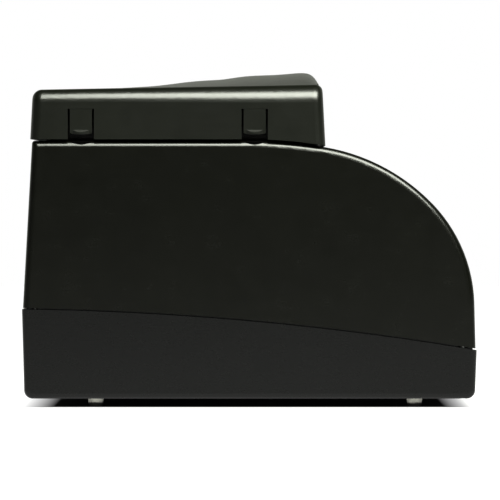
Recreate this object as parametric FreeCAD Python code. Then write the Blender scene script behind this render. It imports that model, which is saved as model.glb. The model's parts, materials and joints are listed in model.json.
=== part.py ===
"""Electronic cash register with a quarter-round front, a lift-off top cover and a cash drawer.

The frame is in millimetres: +X is the operator's right, -Y the operator's side, +Z up. The origin
is on the counter, under the middle of the base. Each function below makes one sub-part.
"""

import FreeCAD
import Part
import math
import os

from FreeCAD import Placement, Rotation, Vector

# ---------------------------------------------------------------- overall size
DEPTH = 425.0
HALF_DEPTH = DEPTH / 2
HALF_WIDTH = 180.0  # half the width of the base at the seam
FOOT_HEIGHT = 8.2
WALL = 3.0

# ---------------------------------------------------------------- base and seam
BASE_BOTTOM = FOOT_HEIGHT
BASE_CORNER = 8.0  # rounding of the base's lower front and rear edges
BASE_FRONT_BOTTOM_Y = -210.8
BASE_REAR_BOTTOM_Y = 210.3
BASE_HALF_WIDTH_BOTTOM = 178.6
BASE_EDGE = 5.0  # rounding along the base's sides
SEAM_REAR_Z = 92.4
SEAM_FRONT_Z = 54.1
SEAM_RADIUS = 2800.0  # the seam is one shallow arc that falls towards the front
SEAM_GAP = 1.3

# ---------------------------------------------------------------- body
BODY_TOP = 249.2
BODY_REAR_SEAM_Y = 211.7
BODY_REAR_TOP_Y = 203.2
BODY_REAR_CORNER = 3.0
BODY_HALF_WIDTH_SEAM = 179.5
BODY_HALF_WIDTH_TOP = 174.6
BODY_EDGE = 6.5
COAMING_HALF_WIDTH = 150.0  # wall around the opening in the body's top, inside the cover
COAMING_FRONT_Y = -49.0
COAMING_REAR_Y = 187.0
COAMING_TOP = 285.0
FRONT_START_Y = -0.5  # where the flat top begins to turn down
FRONT_BENDS = ((417.0, 9.8), (182.0, 36.1), (139.4, 42.7))  # radius, degrees

# ---------------------------------------------------------------- top cover
COVER_GAP = 1.4  # shadow gap between the body and the cover's rim
COVER_REAR_Y = 205.0
COVER_END_LEAN = 0.05  # how far the end walls lean in, per mm of height
COVER_TOP_REAR_Z = 297.0
COVER_TOP_FRONT_Z = 302.3
COVER_FRONT_BEND = 9.72  # degrees of the first front arc that the rim follows
COVER_HALF_WIDTH = 175.9
COVER_SIDE_LEAN = 0.035
COVER_ROUNDS = {  # radius at an edge's rear end and at its front end
    "upright": (9.0, 9.0),
    "side": (12.0, 17.5),
    "rear": (9.0, 9.0),
    "front": (7.0, 7.0),
}
COVER_WALL = 2.6
COVER_LIFT = 90.0
CROWN_HALF_WIDTH = 155.5
CROWN_HEIGHT = 13.9
CROWN_REAR_Y = 132.0
CROWN_FULL_Y = -44.0
CROWN_DROP_Y = -52.5
CROWN_END_Y = -65.3

# ---------------------------------------------------------------- cover tabs
TAB_CENTRES_Y = (157.4, -5.0)  # rear pair, front pair
TAB_HALF_WIDTH = 10.3
TAB_SLIT = 2.0
TAB_TOP_Z = 278.8
TAB_BOTTOM_Z = 254.6
TAB_BOTTOM_RISE = 2.0  # how much higher the tab ends at its corners
TAB_LIP_REACH = 2.6
TAB_LIP_RADIUS = 12.0
RECESS_RADIUS = 19.4
RECESS_BOTTOM_Z = 245.6
RECESS_DEPTH = 10.0

# ---------------------------------------------------------------- printer lid
LID_LEFT, LID_RIGHT = 1.0, 121.0
LID_HINGE_Y = 118.0
LID_BARREL = 3.4
LID_FRONT_Y = -55.5
LID_GAP = 0.7
LID_HINGE_GAP = 1.5
PAPER_SLOT = 3.2

# ---------------------------------------------------------------- keyboard well
WELL_HALF_WIDTH = 164.0
DECK_FRONT = (-203.0, 119.0)  # Y, Z
DECK_ANGLE = 34.0
DECK_LENGTH = 125.0
RISER_TOP = (-76.0, 243.5)
BEZEL_THICK = 2.5
BEZEL_HALF_WIDTH = 158.0
BEZEL_MARGIN = 6.0
KEY_PITCH_X = 27.0
KEY_PITCH_V = 24.5
KEY_BLOCK_X = 80.0
KEY_BLOCK_V = 62.5
KEY_WIDTH = 22.6
KEY_LENGTH = 20.1
KEY_HEIGHT = 6.2
KEY_DRAFT = 1.6
KEY_CLEARANCE = 0.4
KEY_TRAVEL = 3.0
KEY_ROWS = (
    ("key_7", "key_8", "key_9", "key_clear"),
    ("key_4", "key_5", "key_6", "key_multiply"),
    ("key_1", "key_2", "key_3", "key_minus"),
    ("key_0", "key_00", "key_point", "key_subtotal"),
)
MODE_LOCK_RADIUS = 9.0
MEMBRANE_X = (-152.0, -9.0)
MEMBRANE_THICK = 0.8
MEMBRANE_COLUMNS, MEMBRANE_ROWS = 5, 4

# ---------------------------------------------------------------- cash drawer
DRAWER_TRAVEL = 275.0
OPENING_HALF_WIDTH = 165.5
OPENING_BOTTOM = 14.6
OPENING_TOP = 105.0
FRONT_FACE_Y = -209.2
FRONT_THICK = 10.0
FRONT_HALF_WIDTH = 164.5
DRAWER_HALF_WIDTH = 158.0
DRAWER_FRONT_WALL_Y = -190.0
DRAWER_REAR_Y = 135.0
DRAWER_BOTTOM = 18.0
DRAWER_TOP = 94.0
SHEET = 1.2
RUNNER_Z = 46.0
RUNNER_REACH = 6.8
ROLLER_RADIUS = 6.9
ROLLER_Y = -172.0
ROLLER_Z = RUNNER_Z - ROLLER_RADIUS - 0.1
RAIL_WEB_X = 167.0
TILL_FRONT_Y = -186.5
TILL_REAR_Y = 66.0
TILL_TOP = 88.0
NOTE_FRONT_Y = -95.0
NOTE_REAR_Y = 52.0
TILL_WALL = 2.5
CLIP_AXIS = (57.0, 82.0)  # Y, Z
CLIP_ARM = 70.0
CLIP_DROP = 50.5  # degrees below level at rest, on the bottom of an empty slot
LOCK_Z = 64.0
LOCK_PLUG = 6.5
LOCK_CAM = 48.0

# ---------------------------------------------------------------- drawer latch
LATCH_AXIS = (185.0, 51.0)
LATCH_SWING = 14.0
LATCH_TAIL = 10.0
CATCH_Y = 148.0
CATCH_Z = 60.0
PLUNGER_Y = LATCH_AXIS[0] + LATCH_TAIL

# ---------------------------------------------------------------- printer
CHASSIS_Z = 166.0
CHASSIS_THICK = 1.5
PRINTER_X = (23.0, 97.0)
PAPER_AXIS = (40.0, 258.0)
PAPER_RADIUS = 36.0
PAPER_X = (31.5, 88.5)
PLATEN_AXIS = (-30.0, 284.0)
PLATEN_RADIUS = 7.0
GEAR_MODULE = 1.0
PLATEN_TEETH = 40
PINION_TEETH = 20
GEAR_DISTANCE = GEAR_MODULE * (PLATEN_TEETH + PINION_TEETH) / 2
GEAR_LINE = 15.0  # degrees from straight down, platen to pinion
GEAR_X = (98.5, 103.5)
PINION_AXIS = (
    PLATEN_AXIS[0] + GEAR_DISTANCE * math.sin(math.radians(GEAR_LINE)),
    PLATEN_AXIS[1] - GEAR_DISTANCE * math.cos(math.radians(GEAR_LINE)),
)

# ================================================================ plain shapes


def box(x0, x1, y0, y1, z0, z1):
    return Part.makeBox(x1 - x0, y1 - y0, z1 - z0, Vector(x0, y0, z0))


def rod_x(x0, x1, y, z, radius):
    return Part.makeCylinder(radius, x1 - x0, Vector(x0, y, z), Vector(1, 0, 0))


def rod_y(y0, y1, x, z, radius):
    return Part.makeCylinder(radius, y1 - y0, Vector(x, y0, z), Vector(0, 1, 0))


def rod_z(z0, z1, x, y, radius):
    return Part.makeCylinder(radius, z1 - z0, Vector(x, y, z0), Vector(0, 0, 1))


def joined(shapes):
    """The shapes as one solid."""
    first, *others = shapes
    return first.fuse(others).removeSplitter()


def cut(shape, tools):
    return shape.cut(tools)


def mirrored(shape):
    """The shape on the other side of the middle plane."""
    return shape.mirror(Vector(0, 0, 0), Vector(1, 0, 0))


def both_sides(shape):
    return [shape, mirrored(shape)]


def side_point(y, z):
    return Vector(0, y, z)


def end_point(x, z):
    return Vector(x, 0, z)


def flat_point(x, y):
    return Vector(x, y, 0)


def corner_arc(before, corner, after, radius):
    """Start, middle and end of the arc that rounds a corner between two straight runs."""
    to_before = (before - corner).normalize()
    to_after = (after - corner).normalize()
    half = to_before.getAngle(to_after) / 2
    inward = (to_before + to_after).normalize()
    centre = corner + inward * (radius / math.sin(half))
    reach = radius / math.tan(half)
    return corner + to_before * reach, centre - inward * radius, corner + to_after * reach


def outline(corners, place=side_point):
    """Closed wire through corners (u, v) or (u, v, radius); a radius rounds its corner."""
    points = [place(*corner[:2]) for corner in corners]
    runs = []
    for i, corner in enumerate(corners):
        before, here, after = points[i - 1], points[i], points[(i + 1) % len(points)]
        if len(corner) > 2:
            runs.append(corner_arc(before, here, after, corner[2]))
        else:
            runs.append((here, None, here))
    edges = []
    for (start, middle, end), following in zip(runs, runs[1:] + runs[:1]):
        if middle is not None:
            edges.append(Part.Arc(start, middle, end).toShape())
        if end.distanceToPoint(following[0]) > 1e-6:
            edges.append(Part.makeLine(end, following[0]))
    return Part.Wire(edges)


def prism_x(corners, x0, x1):
    """An outline of (Y, Z) corners, drawn out from x0 to x1."""
    face = Part.Face(outline(corners))
    face.translate(Vector(x0, 0, 0))
    return face.extrude(Vector(x1 - x0, 0, 0))


def prism_y(corners, y0, y1):
    """An outline of (X, Z) corners, drawn out from y0 to y1."""
    face = Part.Face(outline(corners, end_point))
    face.translate(Vector(0, y0, 0))
    return face.extrude(Vector(0, y1 - y0, 0))


def plate(corners, z0, z1):
    """An outline of (X, Y) corners, drawn up from z0 to z1."""
    face = Part.Face(outline(corners, flat_point))
    face.translate(Vector(0, 0, z0))
    return face.extrude(Vector(0, 0, z1 - z0))


def rectangle(width, length, radius, x=0.0, y=0.0):
    """Corners of a rounded rectangle for plate."""
    w, h = width / 2, length / 2
    return [
        (x - w, y - h, radius),
        (x + w, y - h, radius),
        (x + w, y + h, radius),
        (x - w, y + h, radius),
    ]


def edges_where(shape, wanted):
    return [edge for edge in shape.Edges if wanted(edge.CenterOfMass)]


# ================================================================ shared outlines


def seam_z(y):
    """Height of the seam between base and body: one shallow arc."""
    rise = SEAM_REAR_Z - SEAM_FRONT_Z
    chord = math.hypot(DEPTH, rise)
    down = math.sqrt(SEAM_RADIUS**2 - (chord / 2) ** 2)
    centre_y = rise / chord * down
    centre_z = (SEAM_REAR_Z + SEAM_FRONT_Z) / 2 - DEPTH / chord * down
    return centre_z + math.sqrt(SEAM_RADIUS**2 - (y - centre_y) ** 2)


def seam_arc(y0, y1, lift):
    points = [side_point(y, seam_z(y) + lift) for y in (y0, (y0 + y1) / 2, y1)]
    return Part.Arc(*points).toShape()


def tangent_arcs(start, heading, bends):
    """Arcs in the side plane, each leaving the last in its direction and turning left.

    Gives the edges, the end and the direction there, with directions in degrees from +Y.
    """
    edges, at = [], start
    for radius, degrees in bends:
        turn = math.radians(heading)
        centre = at + side_point(-math.sin(turn), math.cos(turn)) * radius
        spoke = at - centre
        half = Rotation(Vector(1, 0, 0), degrees / 2).multVec(spoke)
        full = Rotation(Vector(1, 0, 0), degrees).multVec(spoke)
        edges.append(Part.Arc(at, centre + half, centre + full).toShape())
        at = centre + full
        heading += degrees
    return edges, at, heading


def side_solid(edges, half_width=HALF_WIDTH + 2):
    """A closed side outline, drawn out across the whole width."""
    face = Part.Face(Part.Wire(Part.__sortEdges__(edges)))
    face.translate(Vector(-half_width, 0, 0))
    return face.extrude(Vector(2 * half_width, 0, 0))


def leaning_sides(bottom_z, bottom_half, top_z, top_half):
    """The space between two flat side walls that lean."""
    corners = [(-bottom_half, bottom_z), (bottom_half, bottom_z), (top_half, top_z), (-top_half, top_z)]
    return prism_y(corners, -HALF_DEPTH - 20, HALF_DEPTH + 20)


def base_block(inset, top_lift):
    """The base's outer form, or its inside with an inset; its top follows the seam."""
    front_lean = (HALF_DEPTH + BASE_FRONT_BOTTOM_Y) / (SEAM_FRONT_Z - BASE_BOTTOM)
    rear_lean = (HALF_DEPTH - BASE_REAR_BOTTOM_Y) / (SEAM_REAR_Z - BASE_BOTTOM)
    front_y = -HALF_DEPTH + inset
    rear_y = HALF_DEPTH - inset
    floor = BASE_BOTTOM + inset
    front_top = side_point(front_y, seam_z(front_y) + top_lift)
    rear_top = side_point(rear_y, seam_z(rear_y) + top_lift)
    front_low = side_point(front_y + front_lean * (front_top.z - floor), floor)
    rear_low = side_point(rear_y - rear_lean * (rear_top.z - floor), floor)
    corner = BASE_CORNER - min(inset, BASE_CORNER - 1)
    front = corner_arc(front_top, front_low, rear_low, corner)
    rear = corner_arc(front_low, rear_low, rear_top, corner)
    edges = [
        seam_arc(front_y, rear_y, top_lift),
        Part.makeLine(front_top, front[0]),
        Part.Arc(*front).toShape(),
        Part.makeLine(front[2], rear[0]),
        Part.Arc(*rear).toShape(),
        Part.makeLine(rear[2], rear_top),
    ]
    sides = leaning_sides(
        BASE_BOTTOM - 1, BASE_HALF_WIDTH_BOTTOM - inset, SEAM_REAR_Z + 10, HALF_WIDTH - inset
    )
    return side_solid(edges).common(sides)


def body_block(inset, bottom_lift):
    """The body's outer form, or its inside with an inset; its bottom follows the seam."""
    bends = [(radius - inset, degrees) for radius, degrees in FRONT_BENDS]
    top = BODY_TOP - inset
    arcs, nose, heading = tangent_arcs(side_point(FRONT_START_Y, top), 180.0, bends)
    down = math.radians(heading)
    run = (nose.z - seam_z(nose.y) - bottom_lift) / -math.sin(down)
    front_low = nose + side_point(math.cos(down), math.sin(down)) * run
    rear_low = side_point(BODY_REAR_SEAM_Y - inset, seam_z(BODY_REAR_SEAM_Y) + bottom_lift)
    lean = (BODY_REAR_SEAM_Y - BODY_REAR_TOP_Y) / (BODY_TOP - SEAM_REAR_Z)
    rear_low.y += lean * (SEAM_REAR_Z - rear_low.z)
    rear_top = side_point(rear_low.y - lean * (top - rear_low.z), top)
    rear = corner_arc(rear_low, rear_top, side_point(0, top), BODY_REAR_CORNER)
    seam_end = rear_low.y
    edges = [
        *arcs,
        Part.makeLine(nose, front_low),
        Part.makeLine(rear_low, rear[0]),
        Part.Arc(*rear).toShape(),
        Part.makeLine(rear[2], side_point(FRONT_START_Y, top)),
    ]
    middle_y = (front_low.y + seam_end) / 2
    middle = side_point(middle_y, seam_z(middle_y) + bottom_lift)
    edges.append(Part.Arc(front_low, middle, rear_low).toShape())
    sides = leaning_sides(
        SEAM_FRONT_Z - 30, BODY_HALF_WIDTH_SEAM + 0.6 - inset, BODY_TOP + 1, BODY_HALF_WIDTH_TOP - inset
    )
    return side_solid(edges).common(sides)


def cover_top_z(y):
    """Height of the ridge where the cover's shoulder meets its crowned top."""
    share = (COVER_REAR_Y - y) / (COVER_REAR_Y + 71)
    return COVER_TOP_REAR_Z + share * (COVER_TOP_FRONT_Z - COVER_TOP_REAR_Z)


def crown_height(y):
    """How far the crown stands above the ridge on the middle line."""
    if y >= CROWN_FULL_Y:
        share = (CROWN_REAR_Y - y) / (CROWN_REAR_Y - CROWN_FULL_Y)
        return CROWN_HEIGHT * (share + math.sin(math.radians(90 * share))) / 2
    if y >= CROWN_DROP_Y:
        return CROWN_HEIGHT
    share = (CROWN_DROP_Y - y) / (CROWN_DROP_Y - CROWN_END_Y)
    return CROWN_HEIGHT * math.sqrt(max(0.0, 1 - share**2))


def crown_section(y, inset):
    """Cross-section of the crowned top: an arch on a straight foot."""
    half = CROWN_HALF_WIDTH - inset
    edge = cover_top_z(y) - inset
    top = edge + max(crown_height(y), 0.25)
    foot = edge - 5.0
    left, right = Vector(-half, y, edge), Vector(half, y, edge)
    low_left, low_right = Vector(-half, y, foot), Vector(half, y, foot)
    return Part.Wire(
        [
            Part.Arc(left, Vector(0, y, top), right).toShape(),
            Part.makeLine(right, low_right),
            Part.makeLine(low_right, low_left),
            Part.makeLine(low_left, left),
        ]
    )


def crown(inset):
    """The crowned top that swells towards the front and drops off steeply there."""
    swell = [CROWN_REAR_Y - 2 - step * (CROWN_REAR_Y - 2 - CROWN_FULL_Y) / 6 for step in range(7)]
    drop = [CROWN_DROP_Y, CROWN_DROP_Y - 4, CROWN_DROP_Y - 8, CROWN_DROP_Y - 11]
    drop.append(CROWN_END_Y + 0.4)
    sections = [crown_section(y + (inset if y < CROWN_FULL_Y else 0), inset) for y in swell + drop]
    return Part.makeLoft(sections, True, False)


def cover_block(inset, floor=None):
    """The top cover's outer form, or its inside with an inset and a floor height."""
    radius, _ = FRONT_BENDS[0]
    rim = BODY_TOP + COVER_GAP
    arcs, front_low, _ = tangent_arcs(
        side_point(FRONT_START_Y, rim), 180.0, [(radius + COVER_GAP, COVER_FRONT_BEND)]
    )
    rear_low = side_point(COVER_REAR_Y - inset, rim)
    start = side_point(FRONT_START_Y, rim)
    front_low.y += inset
    if floor is not None:
        front_low.y -= COVER_END_LEAN * (front_low.z - floor)
        rear_low.y += COVER_END_LEAN * (rear_low.z - floor)
        front_low.z = rear_low.z = start.z = floor
        arcs = [Part.makeLine(start, front_low)]
    rear_top = side_point(0, cover_top_z(COVER_REAR_Y) - inset)
    rear_top.y = rear_low.y - COVER_END_LEAN * (rear_top.z - rear_low.z)
    front_top = side_point(0, cover_top_z(front_low.y) - inset)
    front_top.y = front_low.y + COVER_END_LEAN * (front_top.z - front_low.z)
    length = side_solid(
        [
            *arcs,
            Part.makeLine(front_low, front_top),
            Part.makeLine(front_top, rear_top),
            Part.makeLine(rear_top, rear_low),
            Part.makeLine(rear_low, start),
        ]
    )
    low, high = BODY_TOP - 30, BODY_TOP + 80
    sides = leaning_sides(
        low,
        COVER_HALF_WIDTH - inset + COVER_SIDE_LEAN * (BODY_TOP - low),
        high,
        COVER_HALF_WIDTH - inset - COVER_SIDE_LEAN * (high - BODY_TOP),
    )
    block = length.common(sides)
    rounds = {"upright": [], "side": [], "rear": [], "front": []}
    for number, edge in enumerate(block.Edges, start=1):
        centre = edge.CenterOfMass
        at_side = abs(centre.x) > COVER_HALF_WIDTH - 10
        if centre.z < BODY_TOP + 3:
            continue
        if centre.z < COVER_TOP_REAR_Z - 6:
            rounds["upright"].append(number)
        elif at_side:
            rounds["side"].append(number)
        else:
            rounds["rear" if centre.y > 0 else "front"].append(number)
    choices = []
    for name, numbers in rounds.items():
        at_rear, at_front = COVER_ROUNDS[name]
        choices.append((at_rear - inset, at_front - inset, numbers))
    return rounded(block, choices)


def rounded(shape, choices):
    """The shape with several fillets: (radius at rear, radius at front, edge numbers) for each."""
    edges = []
    for at_rear, at_front, numbers in choices:
        for number in numbers:
            ends = [vertex.Point.y for vertex in shape.Edges[number - 1].Vertexes]
            radii = (at_rear, at_front) if ends[0] > ends[-1] else (at_front, at_rear)
            edges.append((number, *radii))
    document = FreeCAD.newDocument()
    source = document.addObject("Part::Feature", "source")
    source.Shape = shape
    fillet = document.addObject("Part::Fillet", "fillet")
    fillet.Base = source
    fillet.Edges = edges
    document.recompute()
    result = fillet.Shape.copy()
    FreeCAD.closeDocument(document.Name)
    return result


# ================================================================ housing


def finger_recesses():
    """Scoops in the body's upper edge, one under each cover tab."""
    scoops = []
    for y in TAB_CENTRES_Y:
        x0 = BODY_HALF_WIDTH_TOP - RECESS_DEPTH
        scoop = rod_x(x0, HALF_WIDTH + 5, y, RECESS_BOTTOM_Z + RECESS_RADIUS, RECESS_RADIUS)
        scoops += both_sides(scoop)
    return scoops


def well(grow):
    """The keyboard well between the cheeks: the space over the deck and in front of the riser."""
    slope = math.tan(math.radians(DECK_ANGLE))
    front_y, front_z = DECK_FRONT
    back_y = front_y + DECK_LENGTH * math.cos(math.radians(DECK_ANGLE))
    back_z = front_z + DECK_LENGTH * math.sin(math.radians(DECK_ANGLE))
    riser_y, riser_z = RISER_TOP
    far_y = front_y - 30
    top = riser_z + 40
    over_y = riser_y + (riser_y - back_y) / (riser_z - back_z) * 40
    wire = outline(
        [
            (far_y, front_z + slope * (far_y - front_y)),
            (back_y, back_z),
            (over_y, top),
            (far_y, top),
        ]
    )
    if grow:
        wire = wire.makeOffset2D(grow, 2)
    face = Part.Face(wire)
    half = WELL_HALF_WIDTH + grow
    face.translate(Vector(-half, 0, 0))
    return face.extrude(Vector(2 * half, 0, 0))


def screw_places():
    """(X, Y, height of the seam there) of the four case screws."""
    return [
        (side * x, y, seam_z(y)) for side in (-1, 1) for x, y in ((171.3, -199.5), (170.0, 200.5))
    ]


def base_shell():
    outer = base_block(0, -SEAM_GAP / 2)
    rims = edges_where(
        outer, lambda p: abs(p.x) > BASE_HALF_WIDTH_BOTTOM - 3 and p.z < BASE_BOTTOM + BASE_CORNER
    )
    outer = outer.makeFillet(BASE_EDGE, rims)
    shell = outer.cut(base_block(WALL, 20))
    step = base_block(WALL - 0.5, -SEAM_GAP / 2 - 1.2)
    tongue = base_block(WALL + 1.8, 4.0)
    rim = step.fuse([tongue]).cut([base_block(WALL + 3.1, 20), base_block(0, -SEAM_GAP / 2 - 6)])
    rim = rim.cut([rod_z(seam - SEAM_GAP / 2, seam + 9, x, y, 5.7) for x, y, seam in screw_places()])
    shell = shell.fuse([rim])
    for x, y, seam in screw_places():
        shell = shell.fuse([rod_z(BASE_BOTTOM + 1, seam - SEAM_GAP / 2, x, y, 5.2)])
    opening = box(
        -OPENING_HALF_WIDTH, OPENING_HALF_WIDTH, -220, -192, OPENING_BOTTOM, OPENING_TOP
    )
    holes = [rod_z(0, 130, x, y, 2.1) for x, y, _ in screw_places()]
    holes += [rod_z(0, BASE_BOTTOM + 3, x, y, 4.3) for x, y, _ in screw_places()]
    return shell.cut([opening, *holes]).removeSplitter()


def body_shell():
    outer = body_block(0, SEAM_GAP / 2)
    rims = edges_where(
        outer, lambda p: abs(p.x) > BODY_HALF_WIDTH_TOP - 3 and p.z > seam_z(p.y) + 3
    )
    outer = outer.makeFillet(BODY_EDGE, rims)
    outer = outer.cut(well(0))
    hollow = body_block(WALL, -20).cut(well(WALL))
    shell = outer.cut(hollow)
    ledge = box(166, 177.5, -45, 192, CHASSIS_Z - 5, CHASSIS_Z - 0.05).common(body_block(1, 0))
    bosses = [
        rod_z(seam + SEAM_GAP / 2, seam + 26, x, y, 5.2).common(body_block(1, 0))
        for x, y, seam in screw_places()
    ]
    keeper = box(-24, 60, -199.2, -197.2, OPENING_TOP - 0.4, 123).common(body_block(0, 0))
    keeper = keeper.cut(well(0.5))
    half, front, rear = COAMING_HALF_WIDTH, COAMING_FRONT_Y, COAMING_REAR_Y
    coaming = box(half - 2.5, half, front, rear, BODY_TOP - 6, COAMING_TOP)
    ends = [
        box(-half, half, front, front + 2.5, BODY_TOP - 6, BODY_TOP + 13),
        box(-half, half, rear - 2.5, rear, BODY_TOP - 6, BODY_TOP + 13),
    ]
    shell = shell.fuse([*both_sides(ledge), *bosses, keeper, *both_sides(coaming), *ends])
    printer_opening = box(
        2.5 - half, half - 2.5, front + 2.5, rear - 2.5, BODY_TOP - 12, COAMING_TOP + 5
    )
    drawer_opening = box(
        -OPENING_HALF_WIDTH, OPENING_HALF_WIDTH, -220, -202, OPENING_BOTTOM, OPENING_TOP
    )
    tools = [printer_opening, drawer_opening, *finger_recesses()]
    tools += [rod_z(0, seam + 20, x, y, 2.05) for x, y, seam in screw_places()]
    tools += [box(24 + 13 * i, 29 + 13 * i, 190, 220, 186, 224) for i in range(9)]
    tools.append(box(93.7, 126.3, 190, 220, 118.7, 141.3))
    shell = shell.cut(tools)
    deck_hole = box(10, 156, 10, 115, -9, 2)
    deck_hole.Placement = DECK
    window_hole = box(-118.4, 118.4, 8.6, 51.4, -9, 2)
    window_hole.Placement = RISER
    return shell.cut([deck_hole, window_hole]).removeSplitter()


def deck_placement():
    y, z = DECK_FRONT
    return Placement(Vector(0, y, z), Rotation(Vector(1, 0, 0), DECK_ANGLE))


def riser_placement():
    """On the riser: local X across, local Y up the riser, local Z out of it."""
    foot = DECK.multVec(Vector(0, DECK_LENGTH, 0))
    top = Vector(0, *RISER_TOP)
    rise = math.degrees(math.atan2(top.z - foot.z, top.y - foot.y))
    return Placement(foot, Rotation(Vector(1, 0, 0), rise))


DECK = deck_placement()
RISER = riser_placement()


def rubber_feet():
    feet = []
    for y in (144.2, -154.9):
        foot = Part.makeCone(6.4, 7.6, FOOT_HEIGHT, Vector(150, y, 0), Vector(0, 0, 1))
        foot = foot.makeFillet(1.2, edges_where(foot, lambda p: p.z < 0.1))
        feet += both_sides(foot)
    return feet


def case_screws():
    screws = []
    for x, y, seam in screw_places():
        head = rod_z(BASE_BOTTOM + 0.5, BASE_BOTTOM + 2.95, x, y, 3.9)
        shank = rod_z(BASE_BOTTOM + 2, seam + 18, x, y, 2.0)
        cross = [
            box(x - 2.2, x + 2.2, y - 0.5, y + 0.5, BASE_BOTTOM, BASE_BOTTOM + 1.8),
            box(x - 0.5, x + 0.5, y - 2.2, y + 2.2, BASE_BOTTOM, BASE_BOTTOM + 1.8),
        ]
        screws.append(head.fuse([shank]).removeSplitter().cut(cross))
    return screws


# ================================================================ top cover


def tab_outline(y, grow, bottom):
    """Side outline of a tab, or of its slot with some growth and a lower bottom."""
    half = TAB_HALF_WIDTH + grow
    top = TAB_TOP_Z + (0.25 if grow else 0)
    return [(y - half, top), (y + half, top), (y + half, bottom), (y - half, bottom)]


def cover_outside():
    return cover_block(0).fuse([crown(0)])


def cover_inside():
    return cover_block(COVER_WALL, BODY_TOP - 20).fuse([crown(COVER_WALL)])


def lid_space(gap):
    """The opening that the printer lid fills, grown by a gap."""
    rear = LID_HINGE_Y + LID_BARREL + LID_HINGE_GAP
    return box(LID_LEFT - gap, LID_RIGHT + gap, LID_FRONT_Y, rear, 285, 330)


def lid_hinge_z():
    """The hinge line runs just under the crowned surface at the lid's rear edge."""
    lowest = crown_height(LID_HINGE_Y) * (1 - (LID_RIGHT / CROWN_HALF_WIDTH) ** 2)
    return cover_top_z(LID_HINGE_Y) + lowest - LID_BARREL


def top_cover():
    outer = cover_outside()
    shell = outer.cut(cover_inside())
    slots = []
    for y in TAB_CENTRES_Y:
        slot = prism_x(tab_outline(y, TAB_SLIT, BODY_TOP - 10), 150, 190)
        slots += both_sides(slot)
    opening = lid_space(LID_GAP)
    slot_front = box(
        LID_LEFT - LID_GAP, LID_RIGHT + LID_GAP, LID_FRONT_Y - PAPER_SLOT, LID_FRONT_Y + 1, 285, 330
    )
    window = box(-58, 58, 190, 215, 256.4, 281.6)
    shell = shell.cut([*slots, opening, slot_front, window])
    hinge_z = lid_hinge_z()
    ears = []
    for x in (LID_LEFT - LID_GAP - 3, LID_RIGHT + LID_GAP):
        ear = box(x, x + 3, LID_HINGE_Y - 6, LID_HINGE_Y + 6, hinge_z - 6, hinge_z + 4)
        ears.append(ear.common(outer))
    ribs = []
    for y in (120.0, 60.0, -40.0):
        rib = box(168, 176, y - 1.2, y + 1.2, BODY_TOP + 0.05, BODY_TOP + 22)
        ribs += both_sides(rib.common(outer))
    pivot = rod_x(LID_LEFT - 5, LID_RIGHT + 5, LID_HINGE_Y, hinge_z, 1.58)
    return shell.fuse([*ears, *ribs]).removeSplitter().cut(pivot)


def printer_lid():
    outer = cover_outside()
    region = box(LID_LEFT, LID_RIGHT, LID_FRONT_Y, LID_HINGE_Y, 285, 330)
    skin = outer.cut(cover_inside()).common(region)
    hinge_z = lid_hinge_z()
    barrel = rod_x(LID_LEFT, LID_RIGHT, LID_HINGE_Y, hinge_z, LID_BARREL)
    pins = [
        rod_x(LID_LEFT - 3.2, LID_LEFT + 1, LID_HINGE_Y, hinge_z, 1.5),
        rod_x(LID_RIGHT - 1, LID_RIGHT + 3.2, LID_HINGE_Y, hinge_z, 1.5),
    ]
    webs = []
    for x in (LID_LEFT + 2, (LID_LEFT + LID_RIGHT) / 2 - 1, LID_RIGHT - 4):
        web = box(x, x + 2, LID_FRONT_Y + 4, LID_HINGE_Y, hinge_z - 1, 330).common(outer)
        webs.append(web)
    return joined([skin, barrel, *pins, *webs])


def cover_tab(y):
    """A release tab on the left: a tongue flush with the cover, with a finger lip at its end."""
    skin = cover_outside().cut(cover_inside())
    low = TAB_BOTTOM_Z + TAB_BOTTOM_RISE
    half = TAB_HALF_WIDTH
    edges = [
        Part.makeLine(side_point(y - half, low), side_point(y - half, TAB_TOP_Z)),
        Part.makeLine(side_point(y - half, TAB_TOP_Z), side_point(y + half, TAB_TOP_Z)),
        Part.makeLine(side_point(y + half, TAB_TOP_Z), side_point(y + half, low)),
        Part.Arc(
            side_point(y + half, low), side_point(y, TAB_BOTTOM_Z), side_point(y - half, low)
        ).toShape(),
    ]
    face = Part.Face(Part.Wire(edges))
    face.translate(Vector(-190, 0, 0))
    tongue = skin.common(face.extrude(Vector(40, 0, 0)))
    surface = COVER_HALF_WIDTH - COVER_SIDE_LEAN * (TAB_BOTTOM_Z - BODY_TOP)
    reach = surface + TAB_LIP_REACH
    round_x = reach - TAB_LIP_RADIUS
    lip = rod_z(TAB_BOTTOM_Z - 2, TAB_BOTTOM_Z + 8, -round_x, y, TAB_LIP_RADIUS)
    wedge = prism_y(
        [
            (-surface + 1.8, TAB_BOTTOM_Z + 0.9),
            (-reach - 1, TAB_BOTTOM_Z + 0.9),
            (-reach - 1, TAB_BOTTOM_Z + 1.6),
            (-surface, TAB_BOTTOM_Z + 4.8),
            (-surface + 1.8, TAB_BOTTOM_Z + 4.8),
        ],
        y - half,
        y + half,
    )
    return joined([tongue, lip.common(wedge)])


def customer_display_window():
    skin = cover_outside().cut(cover_inside())
    return skin.common(box(-57.7, 57.7, 190, 215, 256.7, 281.3))


def customer_display_module():
    board = box(-52, 52, 190.2, 191.8, 255, 283)
    tube = box(-48, 48, 191.8, 197.0, 259, 280)
    legs = [box(x, x + 6, 188.6, 192.6, BODY_TOP, 262) for x in (-46, 40)]
    return joined([board, tube, *legs])


# ================================================================ keyboard


def key_window(x, v, length, grow):
    corners = rectangle(KEY_WIDTH + 2 * grow, length + 2 * grow, 2.2, x, v)
    return plate(corners, -BEZEL_THICK - 1, BEZEL_THICK + 3)


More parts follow.
